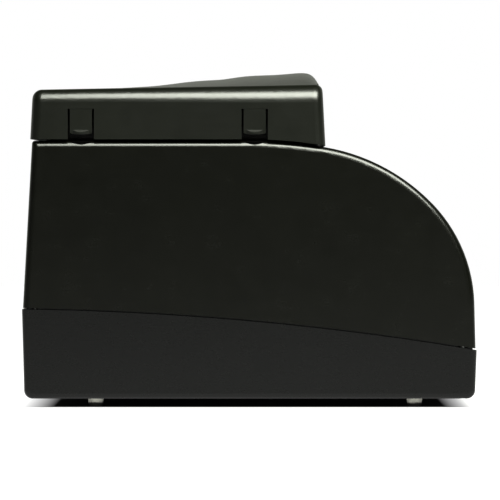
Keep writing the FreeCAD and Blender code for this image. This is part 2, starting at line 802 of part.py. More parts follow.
def key_places():
    """Name, X, place along the deck and length of each travelling key."""
    places = []
    for row, names in enumerate(KEY_ROWS):
        v = KEY_BLOCK_V + (1.5 - row) * KEY_PITCH_V
        for column, name in enumerate(names):
            places.append((name, KEY_BLOCK_X + (column - 2) * KEY_PITCH_X, v, KEY_LENGTH))
    total_v = KEY_BLOCK_V - KEY_PITCH_V
    places.append(
        ("key_total", KEY_BLOCK_X + 2 * KEY_PITCH_X, total_v, KEY_LENGTH + KEY_PITCH_V)
    )
    return places


def mode_lock_place():
    """X and place along the deck of the mode lock."""
    return KEY_BLOCK_X + 2 * KEY_PITCH_X, KEY_BLOCK_V + KEY_PITCH_V


def keyboard_bezel():
    """The panel on the deck, with a window for each key and a ring around the mode lock."""
    v0, v1 = BEZEL_MARGIN, DECK_LENGTH - BEZEL_MARGIN
    corners = rectangle(2 * BEZEL_HALF_WIDTH, v1 - v0, 5, 0, (v0 + v1) / 2)
    panel = plate(corners, 0, BEZEL_THICK)
    top = edges_where(panel, lambda p: abs(p.z - BEZEL_THICK) < 0.01)
    panel = panel.makeFillet(0.8, top)
    lock_x, lock_v = mode_lock_place()
    ring = Part.makeCone(MODE_LOCK_RADIUS + 4.5, MODE_LOCK_RADIUS + 3, 3.0, Vector(lock_x, lock_v, 1))
    panel = panel.fuse([ring])
    x0, x1 = MEMBRANE_X
    seat = box(x0 - 0.2, x1 + 0.2, 13.3, 111.7, BEZEL_THICK - MEMBRANE_THICK, 9)
    tools = [seat, rod_z(-5, 9, lock_x, lock_v, MODE_LOCK_RADIUS + 0.08)]
    tools += [key_window(x, v, length, KEY_CLEARANCE) for _, x, v, length in key_places()]
    panel = panel.cut(tools)
    panel.Placement = DECK
    return panel


def plu_membrane():
    """The flat sheet of department keys, with a low embossed pad for each."""
    x0, x1 = MEMBRANE_X
    sheet = box(x0, x1, 13.5, 111.5, BEZEL_THICK - MEMBRANE_THICK, BEZEL_THICK)
    pitch_x = (x1 - x0) / MEMBRANE_COLUMNS
    pitch_v = 98.0 / MEMBRANE_ROWS
    pads = []
    for column in range(MEMBRANE_COLUMNS):
        for row in range(MEMBRANE_ROWS):
            x = x0 + (column + 0.5) * pitch_x
            v = 13.5 + (row + 0.5) * pitch_v
            pads.append(
                plate(rectangle(24.0, 20.0, 2.5, x, v), BEZEL_THICK - 0.2, BEZEL_THICK + 0.45)
            )
    sheet = joined([sheet, *pads])
    sheet.Placement = DECK
    return sheet


def key(x, v, length):
    """A travelling key: a dished cap with a skirt, a retaining flange and a stem."""
    top = BEZEL_THICK + KEY_HEIGHT
    low = Part.Wire(outline(rectangle(KEY_WIDTH, length, 2.0, x, v), flat_point))
    low.translate(Vector(0, 0, BEZEL_THICK))
    high = outline(
        rectangle(KEY_WIDTH - 2 * KEY_DRAFT, length - 2 * KEY_DRAFT, 2.4, x, v), flat_point
    )
    high.translate(Vector(0, 0, top))
    cap = Part.makeLoft([low, high], True, True)
    dish_radius = 26.0
    dish = Part.makeCylinder(
        dish_radius, length + 10, Vector(x, v - length / 2 - 5, top + dish_radius - 0.9), Vector(0, 1, 0)
    )
    cap = cap.cut(dish)
    skirt = plate(rectangle(KEY_WIDTH, length, 2.0, x, v), -2.4, BEZEL_THICK)
    flange = plate(rectangle(KEY_WIDTH + 2, length + 2, 2.0, x, v), -2.4, -0.2)
    pocket = plate(rectangle(KEY_WIDTH - 6, length - 6, 1.5, x, v), -3, BEZEL_THICK + 2.5)
    stem = rod_z(-4.0, BEZEL_THICK + 3, x, v, 3.0)
    made = joined([cap, skirt, flange]).cut(pocket)
    made = joined([made, stem])
    made.Placement = DECK
    return made


def keyboard_board():
    """The switch board under the travelling keys, with one dome for each."""
    board = box(8, 158, 8, 117, -10.6, -9.0)
    domes = []
    for _, x, v, _ in key_places():
        domes.append(Part.makeCone(4.5, 3.2, 1.8, Vector(x, v, -9.05)))
    posts = [
        rod_z(-9.1, -3.02, x, v, 2.6) for x in (9.5, 156.6) for v in (12.0, 62.0, 113.0)
    ]
    lock_x, lock_v = mode_lock_place()
    board = joined([board, *domes, *posts]).cut(rod_z(-20, 0, lock_x, lock_v, MODE_LOCK_RADIUS + 1))
    board.Placement = DECK
    return board


def mode_lock():
    """The mode lock's turning barrel, with its key in it."""
    x, v = mode_lock_place()
    barrel = rod_z(-16, 3.6, x, v, MODE_LOCK_RADIUS)
    shank = box(x - 1.1, x + 1.1, v - 4.2, v + 4.2, 3.0, 13.0)
    bow = prism_bow(x, v)
    made = joined([barrel, shank, bow])
    made.Placement = DECK
    return made


def prism_bow(x, v):
    """The bow of the mode key: a rounded grip with a hole for its ring."""
    bow = Part.Face(
        outline([(v - 9, 12.5, 3), (v + 9, 12.5, 3), (v + 9, 27, 6), (v - 9, 27, 6)], side_point)
    )
    bow.translate(Vector(x - 1.6, 0, 0))
    bow = bow.extrude(Vector(3.2, 0, 0))
    return bow.cut(rod_x(x - 5, x + 5, v, 22.5, 2.2))


# ================================================================ operator display


def operator_display_window():
    window = plate(rectangle(236, 42.2, 3, 0, 30), -2.6, 0.0)
    window.Placement = RISER
    return window


def operator_display_module():
    board = box(-112, 112, 7, 53, -13.6, -12)
    glass = box(-100, 100, 12, 48, -12, -6.5)
    posts = [rod_z(-12.1, -3.05, x, v, 2.2) for x in (-124, 124) for v in (12, 48)]
    arms = [box(min(x, x * 0.85), max(x, x * 0.85), v - 2, v + 2, -13.6, -12) for x in (-126, 126) for v in (12, 48)]
    module = joined([board, glass, *arms, *posts])
    module.Placement = RISER
    return module


# ================================================================ cash drawer


def drawer_box():
    """The steel drawer with its runners and the catch at its back."""
    half = DRAWER_HALF_WIDTH
    front = FRONT_FACE_Y + FRONT_THICK
    floor = box(-half, half, front, DRAWER_REAR_Y, DRAWER_BOTTOM, DRAWER_BOTTOM + SHEET)
    walls = [
        box(half - SHEET, half, front, DRAWER_REAR_Y, DRAWER_BOTTOM, DRAWER_TOP),
        box(-half, -half + SHEET, front, DRAWER_REAR_Y, DRAWER_BOTTOM, DRAWER_TOP),
        box(-half, half, DRAWER_REAR_Y - SHEET, DRAWER_REAR_Y, DRAWER_BOTTOM, DRAWER_TOP),
        box(-half, half, DRAWER_FRONT_WALL_Y, DRAWER_FRONT_WALL_Y + SHEET, DRAWER_BOTTOM, DRAWER_TOP),
    ]
    runner = box(half - 0.5, half + RUNNER_REACH, -186, DRAWER_REAR_Y, RUNNER_Z, RUNNER_Z + SHEET)
    glide = box(half - 0.5, half + 6.0, 116, 134, RUNNER_Z - 14, RUNNER_Z + 0.4)
    ears = [
        box(x, x + 2, DRAWER_REAR_Y - 1, CATCH_Y + 5, CATCH_Z - 5, CATCH_Z + 7) for x in (-12, 10)
    ]
    bar = rod_x(-12, 12, CATCH_Y, CATCH_Z, 2.5)
    return joined([floor, *walls, *both_sides(runner), *both_sides(glide), *ears, bar])


def drawer_front():
    """The drawer's fascia, hollow at the back, with the seat of the lock."""
    rear = FRONT_FACE_Y + FRONT_THICK
    bottom, top = OPENING_BOTTOM + 1.0, OPENING_TOP - 1.0
    face = prism_x(
        [(FRONT_FACE_Y, bottom, 2.5), (rear, bottom), (rear, top), (FRONT_FACE_Y, top, 2.5)],
        -FRONT_HALF_WIDTH,
        FRONT_HALF_WIDTH,
    )
    sides = edges_where(
        face, lambda p: abs(abs(p.x) - FRONT_HALF_WIDTH) < 0.1 and p.y < FRONT_FACE_Y + 2
    )
    face = face.makeFillet(1.8, sides)
    pocket = box(-158, 158, FRONT_FACE_Y + 3, rear + 1, bottom + 4, top - 4)
    face = face.cut(pocket)
    ring = rod_y(FRONT_FACE_Y - 1.7, rear + 3, 0, LOCK_Z, 9.5)
    collar = rod_y(FRONT_FACE_Y - 1.7, FRONT_FACE_Y + 1, 0, LOCK_Z, 12.0)
    ribs = [box(x, x + 2, FRONT_FACE_Y + 2, rear, bottom + 3, top - 3) for x in (-110, -50, 50, 110)]
    face = joined([face, ring, collar, *ribs])
    return face.cut(rod_y(-230, -180, 0, LOCK_Z, LOCK_PLUG + 0.1))


def drawer_lock_plug():
    """The lock's turning plug, its keyway, and the cam that swings up behind the fascia."""
    rear = FRONT_FACE_Y + FRONT_THICK + 3.3
    plug = rod_y(FRONT_FACE_Y - 1.9, rear + 3, 0, LOCK_Z, LOCK_PLUG)
    keyway = box(-3.6, 3.6, FRONT_FACE_Y - 3, FRONT_FACE_Y + 5, LOCK_Z - 0.7, LOCK_Z + 0.7)
    cam = box(-6, LOCK_CAM, rear, rear + 2.5, LOCK_Z - 6, LOCK_Z + 6)
    return joined([plug, cam]).cut(keyway)


def till_tray():
    """The removable tray: four note slots behind ten coin cups."""
    floor = DRAWER_BOTTOM + SHEET + 0.05
    half = 154.5
    tray = box(-half, half, TILL_FRONT_Y, TILL_REAR_Y, floor, TILL_TOP)
    pockets = []
    note_pitch = (2 * half - TILL_WALL) / 4
    for i in range(4):
        x0 = -half + TILL_WALL + i * note_pitch
        pockets.append(
            box(x0, x0 + note_pitch - TILL_WALL, NOTE_FRONT_Y, NOTE_REAR_Y, floor + 3, TILL_TOP + 1)
        )
    coin_pitch_x = (2 * half - TILL_WALL) / 5
    coin_pitch_y = (NOTE_FRONT_Y - TILL_FRONT_Y - TILL_WALL) / 2
    for i in range(5):
        for j in range(2):
            x0 = -half + TILL_WALL + i * coin_pitch_x
            x1 = x0 + coin_pitch_x - TILL_WALL
            y0 = TILL_FRONT_Y + TILL_WALL + j * coin_pitch_y
            pockets.append(coin_cup(x0, x1, y0, y0 + coin_pitch_y - TILL_WALL, floor + 4))
    for x in clip_places():
        y = CLIP_AXIS[0]
        pockets.append(box(x - 7, x + 7, y - 10, y + 6.5, CLIP_AXIS[1] - 10.5, TILL_TOP + 1))
    tray = tray.cut(pockets)
    rods = [rod_x(x - 7.2, x + 7.2, *CLIP_AXIS, 2.0) for x in clip_places()]
    return joined([tray, *rods])


def coin_cup(x0, x1, y0, y1, floor):
    """The hollow of a coin cup, scooped towards the front and back so that coins slide out."""
    scoop = 19.0
    corners = [(y0, floor, scoop), (y1, floor, scoop), (y1, TILL_TOP + 1), (y0, TILL_TOP + 1)]
    return prism_x(corners, x0, x1)


def clip_places():
    """X of the note clips, one over the middle of each note slot."""
    pitch = (2 * 154.5 - TILL_WALL) / 4
    return [-154.5 + TILL_WALL / 2 + (i + 0.5) * pitch for i in range(4)]


def note_clip(x):
    """A clip that holds notes down: a hub on the tray's rod, an arm and a curved pad."""
    y, z = CLIP_AXIS
    hub = rod_x(x - 6, x + 6, y, z, 4.0)
    arm = box(x - 4.5, x + 4.5, y - CLIP_ARM, y, z - 1.2, z + 1.6)
    pad = prism_x(
        [
            (y - CLIP_ARM - 2, z + 1.6, 1),
            (y - CLIP_ARM - 8, z + 5.5),
            (y - CLIP_ARM - 9.5, z + 3.5),
            (y - CLIP_ARM - 3, z - 2.2, 2),
            (y - CLIP_ARM + 16, z - 1.2),
            (y - CLIP_ARM + 16, z + 1.6),
        ],
        x - 9,
        x + 9,
    )
    clip = joined([hub, arm, pad])
    clip = clip.cut(rod_x(x - 8, x + 8, y, z, 2.08))
    clip.rotate(Vector(0, y, z), Vector(1, 0, 0), CLIP_DROP)
    return clip


def drawer_rails():
    """A folded steel rail on each side of the base, with a pin for its roller."""
    web = box(RAIL_WEB_X, RAIL_WEB_X + 1.5, -186, 170, BASE_BOTTOM + WALL, 51.0)
    inner = DRAWER_HALF_WIDTH + 1.8
    foot = box(inner, RAIL_WEB_X + 1, -186, 170, BASE_BOTTOM + WALL, BASE_BOTTOM + WALL + 1.5)
    lower = box(inner, RAIL_WEB_X + 1, -186, 170, 30.2, 31.7)
    upper = box(inner, RAIL_WEB_X + 1, -186, 170, 49.5, 51.0)
    pin = rod_x(inner, RAIL_WEB_X + 1, ROLLER_Y, ROLLER_Z, 2.5)
    return both_sides(joined([web, foot, lower, upper, pin]))


def drawer_roller(side):
    inner = DRAWER_HALF_WIDTH + 2.2
    wheel = rod_x(inner, inner + 6.0, ROLLER_Y, ROLLER_Z, ROLLER_RADIUS)
    wheel = wheel.makeChamfer(0.6, edges_where(wheel, lambda p: True)[:2])
    wheel = wheel.cut(rod_x(inner - 1, inner + 10, ROLLER_Y, ROLLER_Z, 2.56))
    return wheel if side > 0 else mirrored(wheel)


# ================================================================ drawer latch


def latch_bracket():
    """The folded bracket behind the drawer that carries the latch and the solenoid."""
    floor = BASE_BOTTOM + WALL
    y, z = LATCH_AXIS
    ears = [box(x, x + 1.5, 176, 201.5, floor, 62.5) for x in (-17.5, 16)]
    foot = [
        box(-30, -16.5, 176, 201.5, floor, floor + 1.5),
        box(16.5, 30, 176, 201.5, floor, floor + 1.5),
    ]
    top = box(-17.5, 17.5, 176, 201.5, 61.5, 63.0)
    pin = rod_x(-17, 17, y, z, 2.0)
    bracket = joined([*ears, *foot, top, pin])
    return bracket.cut(rod_z(60, 65, 0, PLUNGER_Y, 5.2))


def latch_lever():
    """The hook that holds the drawer's catch, drawn in its released position."""
    y, z = LATCH_AXIS
    hook = prism_x(
        [
            (y - 44, z - 3),
            (y + LATCH_TAIL + 4, z - 3, 2),
            (y + LATCH_TAIL + 4, z + 3, 2),
            (y + 4, z + 3),
            (y, z + 5, 2),
            (y - 4, z + 3),
            (y - 39.8, z + 3),
            (y - 39.8, z + 14),
            (y - 44, z + 10, 1.5),
        ],
        -2.5,
        2.5,
    )
    hook = hook.cut(
        [rod_x(-4, 4, y, z, 2.08), rod_x(-4, 4, y + LATCH_TAIL, z, 1.9)]
    )
    hook.rotate(Vector(0, y, z), Vector(1, 0, 0), LATCH_SWING)
    return hook


def release_solenoid():
    """The solenoid that lifts the latch's tail, on top of the bracket."""
    frame = box(-14, 14, 184, 205.6, 63.05, 97)
    winding_seat = box(-12.5, 12.5, 180, 210, 66, 94)
    coil = rod_z(66.0, 94.0, 0, PLUNGER_Y, 10.4)
    made = joined([frame.cut(winding_seat), coil])
    return made.cut(rod_z(60, 92, 0, PLUNGER_Y, 4.28))


def solenoid_plunger():
    """The plunger with its forked end and pin around the latch's tail."""
    tail = LATCH_AXIS[1] + LATCH_TAIL * math.sin(math.radians(LATCH_SWING))
    core = rod_z(tail + 6, 88, 0, PLUNGER_Y, 4.2)
    fork = box(-5, 5, PLUNGER_Y - 3.2, PLUNGER_Y + 3.2, tail - 3, tail + 7)
    fork = fork.cut(box(-2.9, 2.9, PLUNGER_Y - 5, PLUNGER_Y + 5, tail - 4, tail + 5.2))
    pin = rod_x(-4.5, 4.5, PLUNGER_Y, tail, 1.2)
    return joined([core, fork, pin])


# ================================================================ printer


def gear(teeth, x0, x1, y, z, turn):
    """A spur gear about an axis along X, with involute flanks; turn is in degrees."""
    pitch = GEAR_MODULE * teeth / 2
    base = pitch * math.cos(math.radians(20))
    tip, root = pitch + GEAR_MODULE * 0.95, pitch - GEAR_MODULE * 1.25
    backlash = 0.12

    def involute(radius):
        roll = math.sqrt(max(0.0, (radius / base) ** 2 - 1))
        return roll - math.atan(roll)

    half_tooth = math.pi / (2 * teeth) - backlash / (2 * pitch) + involute(pitch)
    radii = [max(base, root) + (tip - max(base, root)) * share for share in (0, 0.35, 0.7, 1)]

    def point(radius, angle):
        return Vector(x0, y + radius * math.cos(angle), z + radius * math.sin(angle))

    edges = []
    for i in range(teeth):
        middle = math.radians(turn) + 2 * math.pi * i / teeth
        following = middle + 2 * math.pi / teeth
        rise = [point(r, middle - half_tooth + involute(r)) for r in radii]
        fall = [point(r, middle + half_tooth - involute(r)) for r in reversed(radii)]
        low_start = point(root, middle - half_tooth)
        low_end = point(root, middle + half_tooth)
        flank_up, flank_down = Part.BSplineCurve(), Part.BSplineCurve()
        flank_up.interpolate(rise)
        flank_down.interpolate(fall)
        edges += [
            Part.makeLine(low_start, rise[0]),
            flank_up.toShape(),
            Part.Arc(rise[-1], point(tip, middle), fall[0]).toShape(),
            flank_down.toShape(),
            Part.makeLine(fall[-1], low_end),
            Part.Arc(
                low_end, point(root, (middle + following) / 2), point(root, following - half_tooth)
            ).toShape(),
        ]
    return Part.Face(Part.Wire(edges)).extrude(Vector(x1 - x0, 0, 0))


def platen_roller():
    """The rubber platen on its shaft, with the driven gear on its end."""
    y, z = PLATEN_AXIS
    x0, x1 = PRINTER_X
    rubber = rod_x(x0 + 6, x1 - 6, y, z, PLATEN_RADIUS)
    shaft = rod_x(x0 - 2, GEAR_X[1] + 1.5, y, z, 2.5)
    wheel = gear(PLATEN_TEETH, *GEAR_X, y, z, 0.0)
    return joined([rubber, shaft, wheel])


def pinion_turn():
    """The turn that puts a gap of the pinion on the line of centres where the gear has a tooth."""
    line = -90.0 + GEAR_LINE  # direction from platen to pinion, in degrees from +Y
    gear_pitch = 360.0 / PLATEN_TEETH
    pinion_pitch = 360.0 / PINION_TEETH
    phase = (line / gear_pitch) % 1.0
    return line + 180.0 + pinion_pitch * (0.5 + phase)


def motor_pinion():
    """The motor's shaft and pinion."""
    y, z = PINION_AXIS
    wheel = gear(PINION_TEETH, *GEAR_X, y, z, pinion_turn())
    shaft = rod_x(PRINTER_X[1] - 8, GEAR_X[1] + 1, y, z, 1.5)
    return joined([wheel, shaft])


def feed_motor():
    """The stepping motor that turns the platen, on the inside of the printer's side plate."""
    y, z = PINION_AXIS
    x1 = PRINTER_X[1] - 2.6
    can = rod_x(x1 - 24, x1 - 1.2, y, z, 9.5)
    flange = box(x1 - 1.2, x1 - 0.02, y - 9.5, y + 9.5, z - 9.5, z + 9.5)
    return joined([can, flange]).cut(rod_x(x1 - 8, x1 + 2, y, z, 1.56))


def printer_frame():
    """The printer's moulded frame: two side plates, the paper bucket between them, and legs."""
    x0, x1 = PRINTER_X
    y, z = PAPER_AXIS
    inner, outer = PAPER_RADIUS + 2.5, PAPER_RADIUS + 4.7
    z += inner - PAPER_RADIUS - 0.4
    trough = rod_x(x0, x1, y, z, outer).cut(rod_x(x0 - 1, x1 + 1, y, z, inner))
    trough = trough.cut(box(x0 - 1, x1 + 1, y - 60, y + 60, z, z + 60))
    cheek_outline = [
        (y + outer, z + 6, 5),
        (y - outer - 6, z + 18, 6),
        (PLATEN_AXIS[0] + 6, PLATEN_AXIS[1] + 8, 4),
        (PLATEN_AXIS[0] - 14, PLATEN_AXIS[1] + 8, 4),
        (PLATEN_AXIS[0] - 14, PINION_AXIS[1] - 14, 3),
        (y - 20, z - outer - 2, 3),
        (y + outer, z - outer - 2, 3),
    ]
    cheeks = [prism_x(cheek_outline, x, x + 2.5) for x in (x0, x1 - 2.5)]
    legs = []
    for leg_y in (y - 34, y + 30):
        for x in (x0, x1 - 8):
            legs.append(box(x, x + 8, leg_y, leg_y + 6, CHASSIS_Z + CHASSIS_THICK + 0.02, z - outer + 2))
    floor = box(x0, x1, y - 34, y + 36, z - outer - 2, z - outer + 0.5)
    head_seat = box(
        x0, x1, PLATEN_AXIS[0] - 13.5, PLATEN_AXIS[0] - 11.5, PINION_AXIS[1] - 12, PLATEN_AXIS[1] - 6
    )
    made = joined([trough, *cheeks, *legs, floor, head_seat])
    holes = [
        rod_x(x0 - 3, x1 + 3, *PLATEN_AXIS, 2.56),
        rod_x(x1 - 4, x1 + 3, *PINION_AXIS, 2.6),
    ]
    return made.cut(holes)


def print_head():
    """The thermal head, pressed against the front of the platen."""
    x0, x1 = PRINTER_X
    y, z = PLATEN_AXIS
    bar = box(x0 + 5, x1 - 5, y - PLATEN_RADIUS - 2.1, y - PLATEN_RADIUS - 0.3, z - 9, z + 7)
    sink = box(x0 + 5, x1 - 5, y - PLATEN_RADIUS - 4.4, y - PLATEN_RADIUS - 2.0, z - 14, z + 5)
    return joined([bar, sink])


def paper_roll():
    """A roll of till paper on its cardboard core."""
    y, z = PAPER_AXIS
    roll = rod_x(*PAPER_X, y, z, PAPER_RADIUS)
    return roll.cut(rod_x(PAPER_X[0] - 1, PAPER_X[1] + 1, y, z, 6.0))


# ================================================================ electrical parts


def chassis_plate():
    """The steel plate over the drawer that carries the printer and the electronics."""
    z0, z1 = CHASSIS_Z, CHASSIS_Z + CHASSIS_THICK
    sheet = plate(rectangle(340, 232, 6, 0, 74), z0, z1)
    lip = box(-160, 160, -42, -40.5, z0 - 8, z1)
    holes = [plate(rectangle(30, 12, 5, x, 15), z0 - 1, z1 + 1) for x in (-140, -100, -60)]
    return joined([sheet, lip]).cut(holes)


def main_board():
    """The main circuit board on its pillars, with its larger components."""
    base = CHASSIS_Z + CHASSIS_THICK + 0.02
    board = box(-150, -10, 50, 175, base + 8, base + 9.6)
    pillars = [rod_z(base, base + 8.5, x, y, 3) for x in (-145, -15) for y in (55, 170)]
    parts = [
        box(-84, -60, 100, 124, base + 9.5, base + 12),
        box(-125, -95, 60, 74, base + 9.5, base + 12.5),
        box(-28, -20, 70, 120, base + 9.5, base + 19),
        rod_z(base + 9.5, base + 28, -130, 150, 8),
        rod_z(base + 9.5, base + 24, -110, 152, 6.3),
        box(-80, -40, 160, 172, base + 9.5, base + 20),
    ]
    return joined([board, *pillars, *parts])


def power_transformer():
    """The mains transformer: laminated core, winding and mounting feet."""
    base = CHASSIS_Z + CHASSIS_THICK + 0.02
    core = box(112, 160, 130, 170, base, base + 44)
    winding = box(117, 155, 120, 180, base + 8, base + 36)
    feet = box(104, 168, 140, 160, base, base + 2)
    return joined([core, winding, feet])


def power_inlet():
    """The two-pin mains inlet in the rear wall."""
    body = box(94, 126, 191, 209.2, 119, 141)
    socket = prism_y(
        [(102.3, 125.4, 4.5), (117.7, 125.4, 4.5), (117.7, 134.6, 4.5), (102.3, 134.6, 4.5)],
        195,
        215,
    )
    pins = [rod_y(194, 206, x, 130, 1.2) for x in (105.7, 114.3)]
    return joined([body.cut(socket), *pins])


# ================================================================ the register


def all_parts():
    """Node name and its solid or solids."""
    parts = {
        "base_shell": base_shell(),
        "body_shell": body_shell(),
        "rubber_feet": rubber_feet(),
        "case_screws": case_screws(),
        "drawer_rails": drawer_rails(),
        "latch_bracket": latch_bracket(),
        "release_solenoid": release_solenoid(),
        "chassis_plate": chassis_plate(),
        "main_board": main_board(),
        "power_transformer": power_transformer(),
        "power_inlet": power_inlet(),
        "keyboard_bezel": keyboard_bezel(),
        "plu_membrane": plu_membrane(),
        "keyboard_board": keyboard_board(),
        "operator_display_window": operator_display_window(),
        "operator_display_module": operator_display_module(),
        "customer_display_module": customer_display_module(),
        "printer_frame": printer_frame(),
        "print_head": print_head(),
        "feed_motor": feed_motor(),
        "drawer_box": drawer_box(),
        "drawer_front": drawer_front(),
        "till_tray": till_tray(),
        "drawer_lock_plug": drawer_lock_plug(),
        "drawer_roller_left": drawer_roller(-1),
        "drawer_roller_right": drawer_roller(1),
        "latch_lever": latch_lever(),
        "solenoid_plunger": solenoid_plunger(),
        "top_cover": top_cover(),
        "printer_lid": printer_lid(),
        "customer_display_window": customer_display_window(),
        "platen_roller": platen_roller(),
        "motor_pinion": motor_pinion(),
        "paper_roll": paper_roll(),
        "mode_lock": mode_lock(),
    }
    for number, x in enumerate(clip_places(), start=1):
        parts[f"note_clip_{number}"] = note_clip(x)
    for place, y in zip(("rear", "front"), TAB_CENTRES_Y):
        tab = cover_tab(y)
        parts[f"cover_tab_left_{place}"] = tab
        parts[f"cover_tab_right_{place}"] = mirrored(tab)
    for name, x, v, length in key_places():
        parts[name] = key(x, v, length)
    return parts


def main():
    os.makedirs("parts", exist_ok=True)
    for name, made in all_parts().items():
        solids = made if isinstance(made, list) else [made]
        solids = [solid for shape in solids for solid in shape.Solids]
        shape = solids[0] if len(solids) == 1 else Part.makeCompound(solids)
        state = "ok" if all(solid.isValid() for solid in solids) else "NOT VALID"
        print(name, len(solids), round(sum(solid.Volume for solid in solids) / 1000, 2), "cm3", state)
        shape.exportStep(f"parts/{name}.step")


if __name__ == "__main__":
    main()
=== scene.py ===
"""The cash register's looks: materials, legends, display digits, light and camera.

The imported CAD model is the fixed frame. Everything is in metres in its frame: the operator stands
at -Y and the camera looks at the left side, along +X.
"""

import json
import math

import bmesh
import bpy
from mathutils import Matrix, Vector


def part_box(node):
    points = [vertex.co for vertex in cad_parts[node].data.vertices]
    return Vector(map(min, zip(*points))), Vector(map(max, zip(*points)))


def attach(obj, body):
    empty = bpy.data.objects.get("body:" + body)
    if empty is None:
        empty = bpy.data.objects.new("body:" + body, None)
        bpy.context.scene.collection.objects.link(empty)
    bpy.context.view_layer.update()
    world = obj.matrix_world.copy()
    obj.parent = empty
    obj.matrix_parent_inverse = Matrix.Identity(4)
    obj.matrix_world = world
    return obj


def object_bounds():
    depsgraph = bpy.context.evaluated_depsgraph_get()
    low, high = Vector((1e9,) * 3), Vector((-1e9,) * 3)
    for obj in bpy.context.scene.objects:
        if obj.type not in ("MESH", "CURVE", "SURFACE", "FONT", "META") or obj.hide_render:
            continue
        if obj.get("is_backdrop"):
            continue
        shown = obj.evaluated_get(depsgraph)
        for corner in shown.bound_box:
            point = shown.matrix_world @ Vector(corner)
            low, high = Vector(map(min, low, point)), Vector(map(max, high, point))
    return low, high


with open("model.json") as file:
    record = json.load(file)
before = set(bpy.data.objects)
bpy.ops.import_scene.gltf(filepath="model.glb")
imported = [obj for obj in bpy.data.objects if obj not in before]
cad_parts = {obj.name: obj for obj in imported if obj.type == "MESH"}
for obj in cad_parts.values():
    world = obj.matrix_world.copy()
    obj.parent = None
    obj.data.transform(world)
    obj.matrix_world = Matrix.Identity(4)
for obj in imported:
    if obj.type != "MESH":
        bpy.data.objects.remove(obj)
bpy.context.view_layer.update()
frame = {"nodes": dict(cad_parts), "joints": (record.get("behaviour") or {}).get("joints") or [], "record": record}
nodes = frame["nodes"]
body_of_node = {
    node: body
    for body, members in frame["record"]["behaviour"]["bodies"].items()
    for node in members
}
slot_of_node = {row["node"]: row["material_slot"] for row in frame["record"]["subparts"]}

# ---------------------------------------------------------------- node helpers


class Material:
    """A Principled material whose textures are laid out in the row frame's metres."""

    def __init__(self, name, **constants):
        self.material = bpy.data.materials.new(name)
        self.material.use_nodes = True
        self.tree = self.material.node_tree
        self.tree.nodes.clear()
        output = self.add("ShaderNodeOutputMaterial")
        self.shader = self.add("ShaderNodeBsdfPrincipled")
        self.tree.links.new(self.shader.outputs["BSDF"], output.inputs["Surface"])
        self.place = self.add("ShaderNodeTexCoord").outputs["Object"]
        for key, value in constants.items():
            socket = key.replace("_", " ").title().replace("Ior", "IOR")
            self.shader.inputs[socket].default_value = value

    def add(self, kind, **settings):
        node = self.tree.nodes.new(kind)
        for key, value in settings.items():
            setattr(node, key, value)
        return node

    def link(self, source, target):
        self.tree.links.new(source, target)

    def stretched(self, scale):
        """The place scaled by a vector, for grain that runs one way."""
        mapping = self.add("ShaderNodeMapping")
        mapping.inputs["Scale"].default_value = scale
        self.link(self.place, mapping.inputs["Vector"])
        return mapping.outputs["Vector"]

    def noise(self, size, detail=3.0, roughness=0.55, place=None):
        """Noise from 0 to 1 whose features are about size metres."""
        node = self.add("ShaderNodeTexNoise")
        node.inputs["Scale"].default_value = 1 / size
        node.inputs["Detail"].default_value = detail
        node.inputs["Roughness"].default_value = roughness
        self.link(place or self.place, node.inputs["Vector"])
        return node.outputs["Fac"]

    def spread(self, value, low, high, start=0.3, end=0.7):
        """value from start..end carried to low..high."""
        node = self.add("ShaderNodeMapRange", clamp=True)
        for key, number in (
            ("From Min", start),
            ("From Max", end),
            ("To Min", low),
            ("To Max", high),
        ):
            node.inputs[key].default_value = number
        self.link(value, node.inputs["Value"])
        return node.outputs["Result"]

    def math(self, operation, a, b):
        node = self.add("ShaderNodeMath", operation=operation)
        for socket, value in zip(node.inputs, (a, b)):
            if isinstance(value, (int, float)):
                socket.default_value = value
            else:
                self.link(value, socket)
        return node.outputs[0]

    def mix(self, factor, a, b):
        """Colour a to colour b; each is a colour or a socket."""
        node = self.add("ShaderNodeMix", data_type="RGBA")
        if isinstance(factor, (int, float)):
            node.inputs["Factor"].default_value = factor
        else:
            self.link(factor, node.inputs["Factor"])
        for key, value in (("A", a), ("B", b)):
            socket = [s for s in node.inputs if s.name == key and s.type == "RGBA"][0]
            if isinstance(value, tuple):
                socket.default_value = (*value, 1.0)
            else:
                self.link(value, socket)
        return [s for s in node.outputs if s.type == "RGBA"][0]

    def bump(self, height, distance, strength=1.0, after=None):
        node = self.add("ShaderNodeBump")
        node.inputs["Distance"].default_value = distance
        node.inputs["Strength"].default_value = strength
        self.link(height, node.inputs["Height"])
        if after is not None:
            self.link(after, node.inputs["Normal"])
        return node.outputs["Normal"]

    def set(self, key, socket):
        """Drives one of the shader's inputs."""
        self.link(socket, self.shader.inputs[key])


def shade(colour, share):
    """The colour, lighter or darker by a share."""
    return tuple(min(1.0, channel * share) for channel in colour)


# ---------------------------------------------------------------- materials


